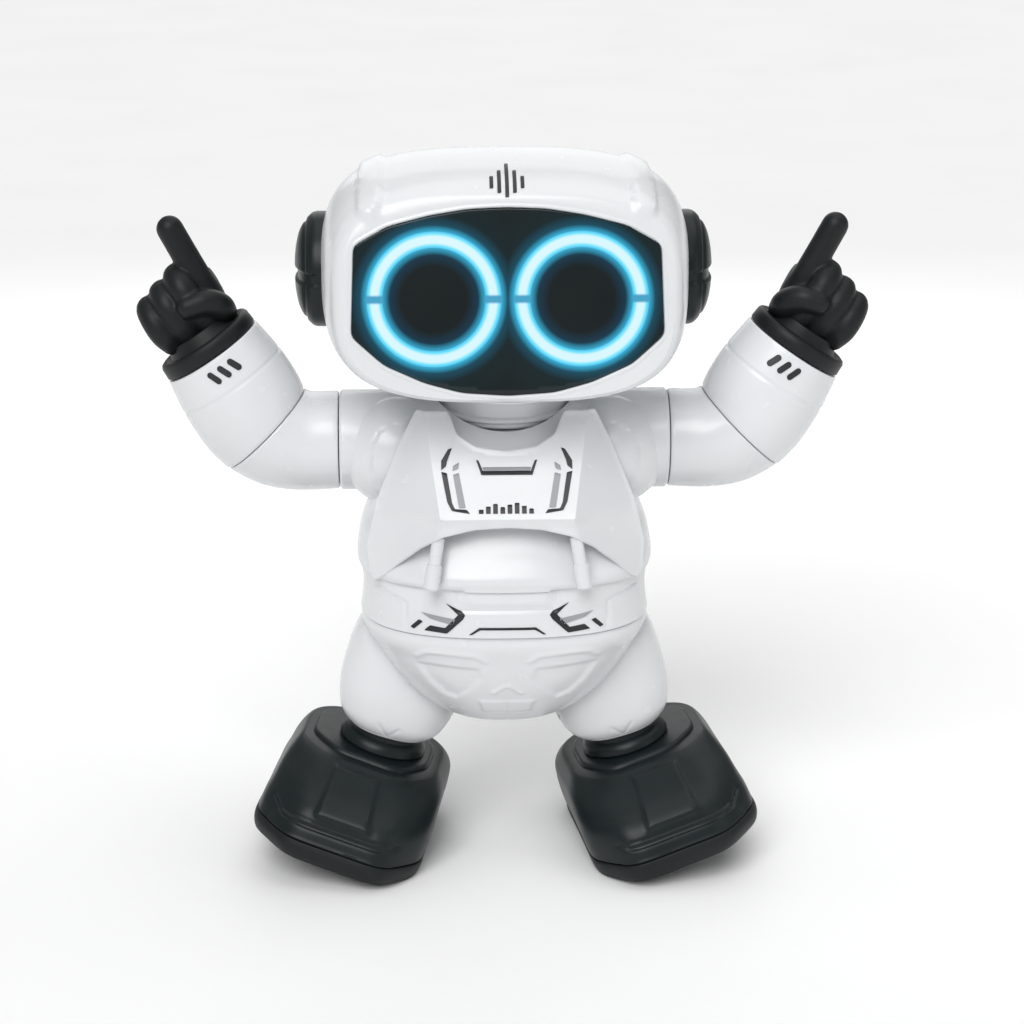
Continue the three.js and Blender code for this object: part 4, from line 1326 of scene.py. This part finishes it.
def make_prints(head, torso, chest):
    dark = [o for shape in CHEST_INK for o in both_sides(shape)] + [CHEST_BAR] + CHEST_TICKS
    pitch = 15.2 / len(LEVELS)
    for k, level in enumerate(LEVELS):
        left = -7.6 + k * pitch
        dark.append(rectangle(left, left + 0.66 * pitch, 105.3, 105.3 + level))
    print_on(chest, "chest_print", dark, INK, "torso", "black_shell")
    grey = [o for shape in CHEST_GREY for o in both_sides(shape)] + [CHEST_BAND]
    print_on(chest, "chest_print_grey", grey, INK_GREY, "torso", "inner_grey")
    dark = [o for shape in BELT_INK for o in both_sides(shape)] + [BELT_BAR]
    print_on(torso, "belt_print", dark, INK, "torso", "black_shell")
    grey = [o for shape in BELT_GREY for o in both_sides(shape)]
    print_on(torso, "belt_print_grey", grey, INK_GREY, "torso", "inner_grey")
    print_on(head, "forehead_icon", forehead_icon(), INK, "head", "black_shell")


def forehead_icon():
    """A plain sound level display over the touch plate."""
    shapes = []
    for k, level in enumerate((1.2, 2.2, 3.2, 2.2, 1.2)):
        x = 2 * (k - 2)
        shapes.append(rectangle(x - 0.5, x + 0.5, 192 - level, 192 + level))
    return shapes


# ---- Scene ----
def dress_inside():
    """Materials for the CAD nodes that show as they are."""
    looks = {
        "circuit_board": board_look(),
        "inner_grey": GREY,
        "steel": STEEL,
        "cell_wrap": CELL,
        "black_shell": BLACK,
        "white_shell": WHITE,
    }
    for material in frame["record"]["materials"]:
        for name in material.get("nodes", []):
            cad = frame["nodes"][name]
            if material["slot"] in looks:
                cad.data.materials.clear()
                cad.data.materials.append(looks[material["slot"]])


CAMERA_DISTANCE = 750
CAMERA_LIFT = 17
CAMERA_TURN = 1.7
TARGET = (0, 0, 94.5)


def looking(piece, place, target):
    piece.location = Vector(in_frame(place))
    towards = Vector(in_frame(target)) - piece.location
    piece.rotation_euler = towards.to_track_quat("-Z", "Y").to_euler()
    bpy.context.collection.objects.link(piece)
    return piece


def make_camera():
    lens = bpy.data.cameras.new("camera")
    lens.lens = 94.9
    lens.sensor_width = 36
    lens.shift_x = 0.0083
    up, side = math.radians(CAMERA_LIFT), math.radians(CAMERA_TURN)
    offset = (-math.cos(up) * math.sin(side), -math.cos(up) * math.cos(side), math.sin(up))
    place = np.array(TARGET) + CAMERA_DISTANCE * np.array(offset)
    bpy.context.scene.camera = looking(bpy.data.objects.new("camera", lens), place, TARGET)


def make_light(name, place, size, power):
    lamp = bpy.data.lights.new(name, "AREA")
    lamp.size = size * 0.001
    lamp.energy = power
    looking(bpy.data.objects.new(name, lamp), place, (0, 0, 100))


def make_sun(name, place, strength, spread):
    lamp = bpy.data.lights.new(name, "SUN")
    lamp.angle = math.radians(spread)
    lamp.energy = strength
    looking(bpy.data.objects.new(name, lamp), place, (0, 0, 100))


def make_stage():
    reach = 9000
    corners = [(-reach, -reach, 0), (reach, -reach, 0), (reach, reach, 0), (-reach, reach, 0)]
    floor = mesh_piece("floor", corners, [(0, 1, 2, 3)])
    look, tree, shader, place = new_look("floor_paper")
    cloud = node(tree, "TexNoise", {"Vector": place, "Scale": 8.0})
    tint = shaded(tree, (0.92, 0.92, 0.92), (0.94, 0.94, 0.94), cloud.outputs["Fac"])
    tree.links.new(tint, shader.inputs["Base Color"])
    shader.inputs["Roughness"].default_value = 0.8
    floor.data.materials.append(look)
    world = bpy.data.worlds.new("studio")
    world.use_nodes = True
    world.node_tree.nodes["Background"].inputs["Color"].default_value = (1, 1, 1, 1)
    world.node_tree.nodes["Background"].inputs["Strength"].default_value = 0.3
    scene = bpy.context.scene
    scene.world = world
    scene.view_settings.view_transform = "Standard"
    make_sun("key", (-260, -800, 900), 1.9, 40)
    make_sun("top", (150, 100, 900), 0.9, 60)
    make_light("fill", (560, -420, 300), 380, 0.3)
    make_light("rim", (0, 620, 420), 500, 0.8)


make_camera()
make_stage()
dress_inside()
HEAD_FRONT = make_head()
make_face()
make_ears()
make_neck()
TORSO_FRONT = make_torso()
CHEST = make_chest()
make_belly_tubes()
make_arms()
make_hands()
make_pelvis()
make_legs()
make_feet()
make_prints(HEAD_FRONT, TORSO_FRONT, CHEST)
